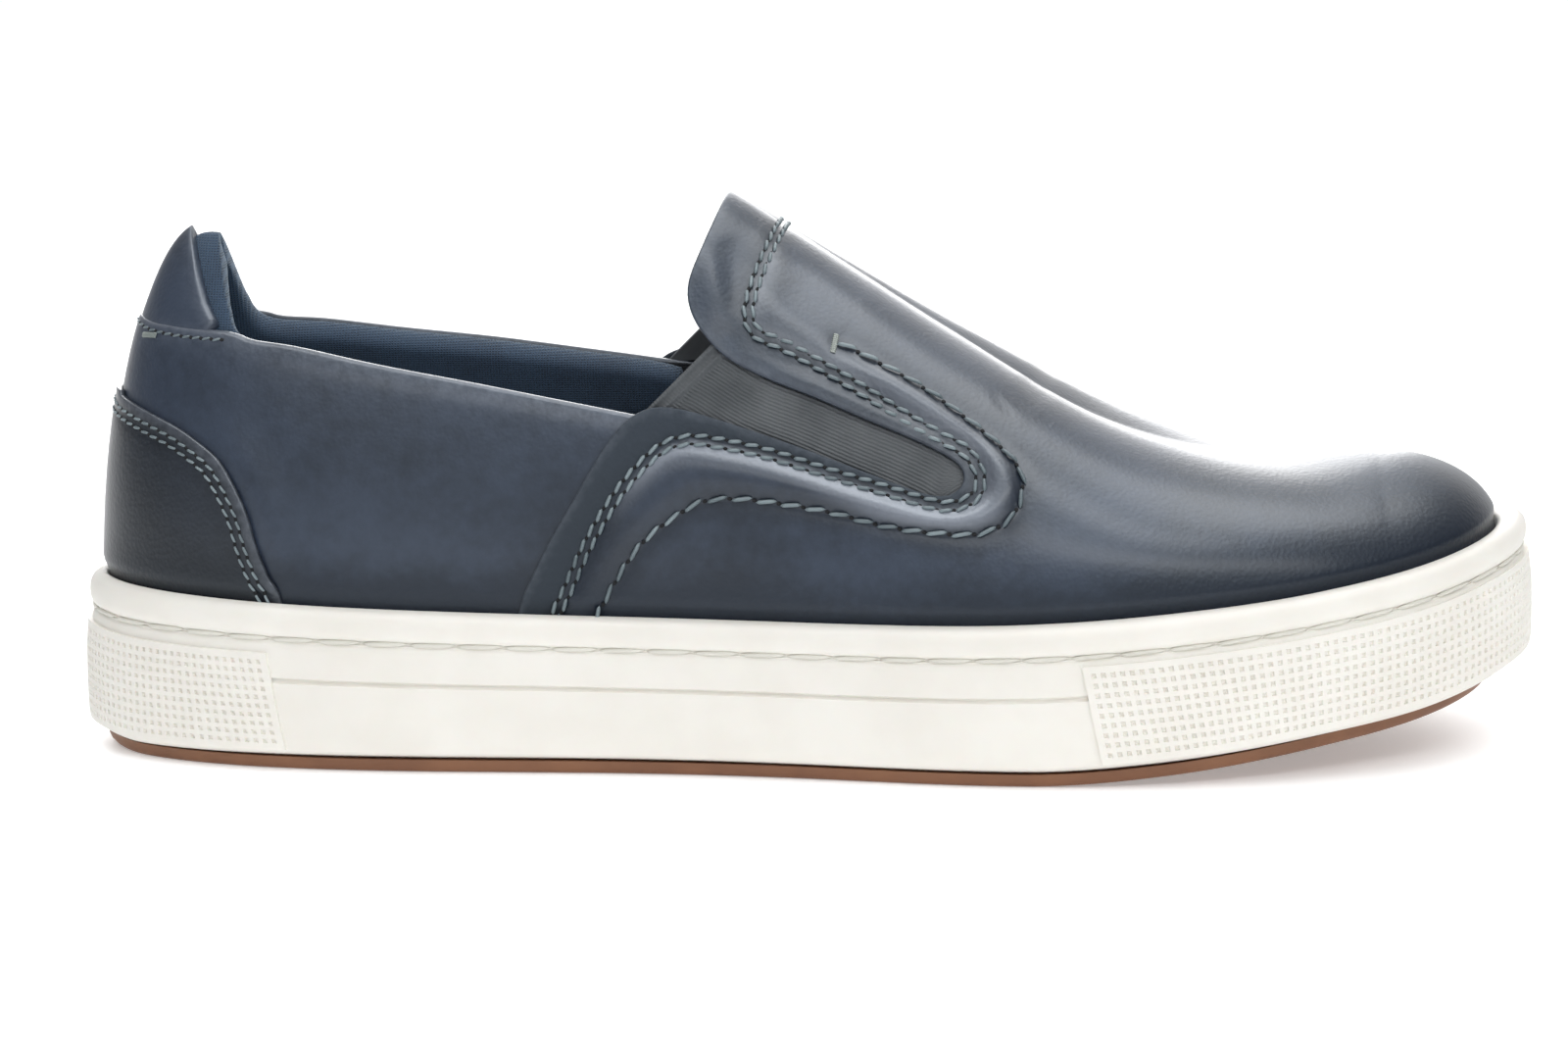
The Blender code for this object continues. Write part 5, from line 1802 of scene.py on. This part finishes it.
    def footbed(self) -> Piece:
        """Cloth-covered footbed: a crowned sheet whose rim turns up a little."""
        n = 120
        ring, normal = self.last.ring(n)
        wall = feather_inset(ring[:, 0]) - LEVEL_INNER + 2 * GAP
        rings = []
        thick = INSOLE_THICKNESS
        for inset, lift in ((0.0008, 0.0), (0.0, 0.0012), (0.0, thick + 0.0010), (0.0006, thick + 0.0015),
                            (0.0016, thick + 0.0016), (0.0040, thick + 0.0008), (0.0080, thick)):
            plan = ring - normal * (wall + inset)[:, None]
            rings.append(np.column_stack([plan, underside(plan[:, 0]) + CUP_FLOOR + GAP + lift]))
        points = np.vstack(rings)
        side = ring_faces(len(rings), 2 * n)
        top = ladder((len(rings) - 1) * 2 * n, n)
        sheet = Sheet(points, [np.vstack([side, top, ladder(0, n)[:, ::-1]])])
        return self.piece("footbed", sheet, Finish.FOOTBED, "footbed", "insole")

    def stitch(self, name: str, rows: list[tuple[Array, Array]], thread: Thread) -> None:
        """Lay a set of rows as one piece of thread and one of dark discs, painted shade for each needle hole.
        """
        laid = joined([thread.along(*row) for row in rows])
        self.piece(name, laid, Finish.THREAD, "navy_vamp")
        # Dark discs at the stitch ends: painted shade for each needle hole
        hole_shades = joined([thread.hole_shades(*row) for row in rows])
        self.piece(name + "_holes", hole_shades, Finish.HOLE, "navy_vamp")

    def stitches(self) -> None:
        """Every row of stitches on the upper."""
        double = self.pattern.double_row()
        half = self.double_gap / 2
        rows = [self.skin.trace(double, inset, THREAD_LEVEL) for inset in (-half, half)]
        self.stitch("vamp_stitches", rows, Thread())
        outer = drawn(OUTER_ROW, 400)
        single = []
        for inner in (False, True):
            flat = outer.copy()
            if inner:
                flat[:, 1] += inner_lift(flat)
            single.append(self.settled(flat, inner, 0.0001))
        self.stitch("outer_row_stitches", single, Thread(pitch=0.0051, radius=0.00044))
        counter = self.pattern.counter()
        rows = [self.skin.trace(counter, inset, THREAD_LEVEL) for inset in self.counter_rows]
        self.stitch("counter_stitches", rows, Thread(pitch=0.0027, radius=0.00030, proud=0.0))
        seam = drawn(BACK_LINE, 30)
        back = Outline(seam, corners((0.112, 0.12), (-0.04, 0.12)), False, 0.0)
        fine = Thread(pitch=0.0025, radius=0.00026, slant=16.0, proud=0.0)
        self.stitch("tab_stitches", [self.skin.trace(back, 0.0022, LEVEL_BASE)], fine)
        self.tacks()

    def tacks(self) -> None:
        """Bar tacks: short dense bars of thread across the end of the outer row and on the heel."""
        bars = []
        thread = Thread(pitch=0.00045, radius=0.00024, slant=82.0, proud=0.00015, reach=0.0013)
        reach = np.linspace(-0.0017, 0.0017, 15)[:, None]
        for station, share, turn in TACKS:
            middle = side_line(((station, share),))[0]
            level = 0.0 if station > 0.3 else LEVEL_BASE
            angle = math.radians(turn)
            for inner in (False, True):
                flat = middle + reach * np.array([math.cos(angle), math.sin(angle)])
                if inner:
                    flat = flat + np.stack([0.0 * flat[:, 0], inner_lift(flat)], -1)
                bars.append(thread.along(*self.settled(flat, inner, level)))
        self.piece("bar_tacks", joined(bars), Finish.TACK, "navy_vamp")

    def settled(self, flat: Array, inner: bool, level: float) -> tuple[Array, Array]:
        """A side-view line laid on the surface, with the surface's normals along it."""
        flags = np.full(len(flat), inner)
        points = self.last.settle(flat, flags, level)
        step = 0.0006
        right = self.last.settle(flat + [step, 0.0], flags, level)
        up = self.last.settle(flat + [0.0, step], flags, level)
        normal = np.cross(right - points, up - points) * (-1.0 if inner else 1.0)
        return even_path(points, normal, 0.0004, 2)

    def build(self) -> None:
        """Every piece of the upper."""
        self.quarter()
        self.vamp()
        self.counter()
        self.tab()
        self.lining()
        self.gore(False)
        self.gore(True)
        self.collar_pad()
        self.footbed()
        self.stitches()


@dataclass
class Studio:
    """Pale floor, soft light and the photograph's camera.

    Attributes:
        azimuth: Turn of the view, degrees; 0 looks along +Y.
        elevation: Height of the view, degrees.
        roll: Roll of the picture, degrees.
        distance: Distance from the aim.
        focal: Focal length in pixels of the 1600 wide picture.
        centre: Picture point that the aim falls on.
        aim: Point that the camera looks at.
    """

    azimuth: float = -5.495
    elevation: float = 9.133
    roll: float = -1.0
    distance: float = 1.5
    focal: float = 7420.8
    centre: tuple[float, float] = (817.19, 484.77)
    aim: tuple[float, float, float] = (0.0, 0.0, 0.055)

    def camera(self) -> None:
        """Camera from its angles: it looks along the view way and is rolled about it."""
        a, e, r = (math.radians(v) for v in (self.azimuth, self.elevation, self.roll))
        ahead = Vector((math.sin(a) * math.cos(e), math.cos(a) * math.cos(e), -math.sin(e)))
        right = Vector((math.cos(a), -math.sin(a), 0.0))
        up = right.cross(ahead)
        turned = right * math.cos(r) + up * math.sin(r)
        raised = up * math.cos(r) - right * math.sin(r)
        data = bpy.data.cameras.new("camera")
        data.sensor_width = 36.0
        data.lens = self.focal * 36.0 / 1600.0
        data.shift_x = (800.0 - self.centre[0]) / 1600.0
        data.shift_y = (self.centre[1] - 534.0) / 1600.0
        data.clip_start = 0.05
        data.clip_end = 20.0
        item = bpy.data.objects.new("camera", data)
        place = Vector(self.aim) - ahead * self.distance
        item.matrix_world = Matrix.Translation(place) @ Matrix((turned, raised, -ahead)).transposed().to_4x4()
        bpy.context.scene.collection.objects.link(item)
        bpy.context.scene.camera = item

    def floor(self) -> None:
        """A wide pale floor that reaches far behind."""
        u = np.linspace(-12.0, 12.0, 41)
        v = np.linspace(-3.0, 21.0, 41)
        x, y = np.meshgrid(u, v, indexing="ij")
        points = np.stack([x, y, 0.0 * x], -1).reshape(-1, 3)
        faces = ring_faces(len(u), len(v), closed=False)
        item = make_piece("floor", Sheet(points, [faces]), np.zeros(3))
        tree = Tree("floor_paint")
        tree.value("Base Color", (0.93, 0.935, 0.945, 1.0))
        tree.value("Roughness", 0.55)
        tree.value("Emission Color", (1.0, 1.0, 1.0, 1.0))
        tree.value("Emission Strength", 0.30)
        item.data.materials.append(tree.material)

    def light(self, name: str, power: float, size: tuple[float, float], place: tuple[float, float, float],
              gloss_only: bool = False) -> None:
        """One soft rectangular lamp aimed at the shoe.

        Args:
            name: Name of the lamp.
            power: Watts.
            size: Width and height.
            place: Where it stands.
            gloss_only: It shows in reflections alone, as a reflector card does.
        """
        data = bpy.data.lights.new(name, "AREA")
        data.shape = "RECTANGLE"
        data.size, data.size_y = size
        data.energy = power
        item = bpy.data.objects.new(name, data)
        item.location = place
        item.rotation_euler = (Vector(place) - Vector((0.0, 0.0, 0.05))).to_track_quat("Z", "Y").to_euler()
        item.visible_diffuse = not gloss_only
        item.visible_camera = False
        bpy.context.scene.collection.objects.link(item)

    def surround(self, front: float, back: float, side: float) -> None:
        """White surround: its strength rises evenly from front to back, and falls off to both sides.

        Args:
            front: Strength straight in front of the shoe's outer side.
            back: Strength behind it.
            side: Share of the strength that is left beyond toe and heel.
        """
        world = bpy.data.worlds.new("surround")
        bpy.context.scene.world = world
        nodes = Nodes(world)
        ground = nodes.tree.nodes["Background"]
        ground.inputs["Color"].default_value = (1.0, 1.0, 1.0, 1.0)
        way = nodes.add("ShaderNodeTexCoord").outputs["Generated"]
        split = nodes.add("ShaderNodeSeparateXYZ", Vector=way)
        across = nodes.math("ABSOLUTE", split.outputs["X"])
        depth = nodes.span(split.outputs["Y"], (-1.0, 1.0), (front, back))
        width = nodes.span(across, (0.30, 0.95), (1.0, side))
        nodes.link(nodes.math("MULTIPLY", depth, width), ground.inputs["Strength"])

    def build(self) -> None:
        """Camera, floor, lamps and the white surround."""
        self.camera()
        self.floor()
        self.light("back_gloss", 13.0, (0.9, 1.15), (-0.23, 1.50, 0.62), gloss_only=True)
        self.light("top_gloss", 6.0, (0.9, 0.7), (0.20, 0.27, 1.15), gloss_only=True)
        self.light("strip_gloss", 7.0, (1.2, 0.35), (-0.10, -0.35, 1.15), gloss_only=True)
        self.light("front_gloss", 2.4, (1.0, 0.35), (-0.50, -1.40, 0.95), gloss_only=True)
        self.light("top_softbox", 9.0, (2.0, 1.6), (0.1, -0.1, 1.60))
        self.light("front_softbox", 5.2, (1.3, 0.28), (0.50, -1.05, 0.95))
        self.surround(0.56, 1.0, 0.22)
        view = bpy.context.scene.view_settings
        view.view_transform = "Standard"


def main() -> None:
    """Build the studio, the sole and the upper, in that order."""
    logging.basicConfig(level=logging.INFO, format="%(name)s: %(message)s")
    Studio().build()
    last = Last()
    Sole(last).build()
    Upper(last, Skin(last)).build()


if __name__ == "__main__":
    main()
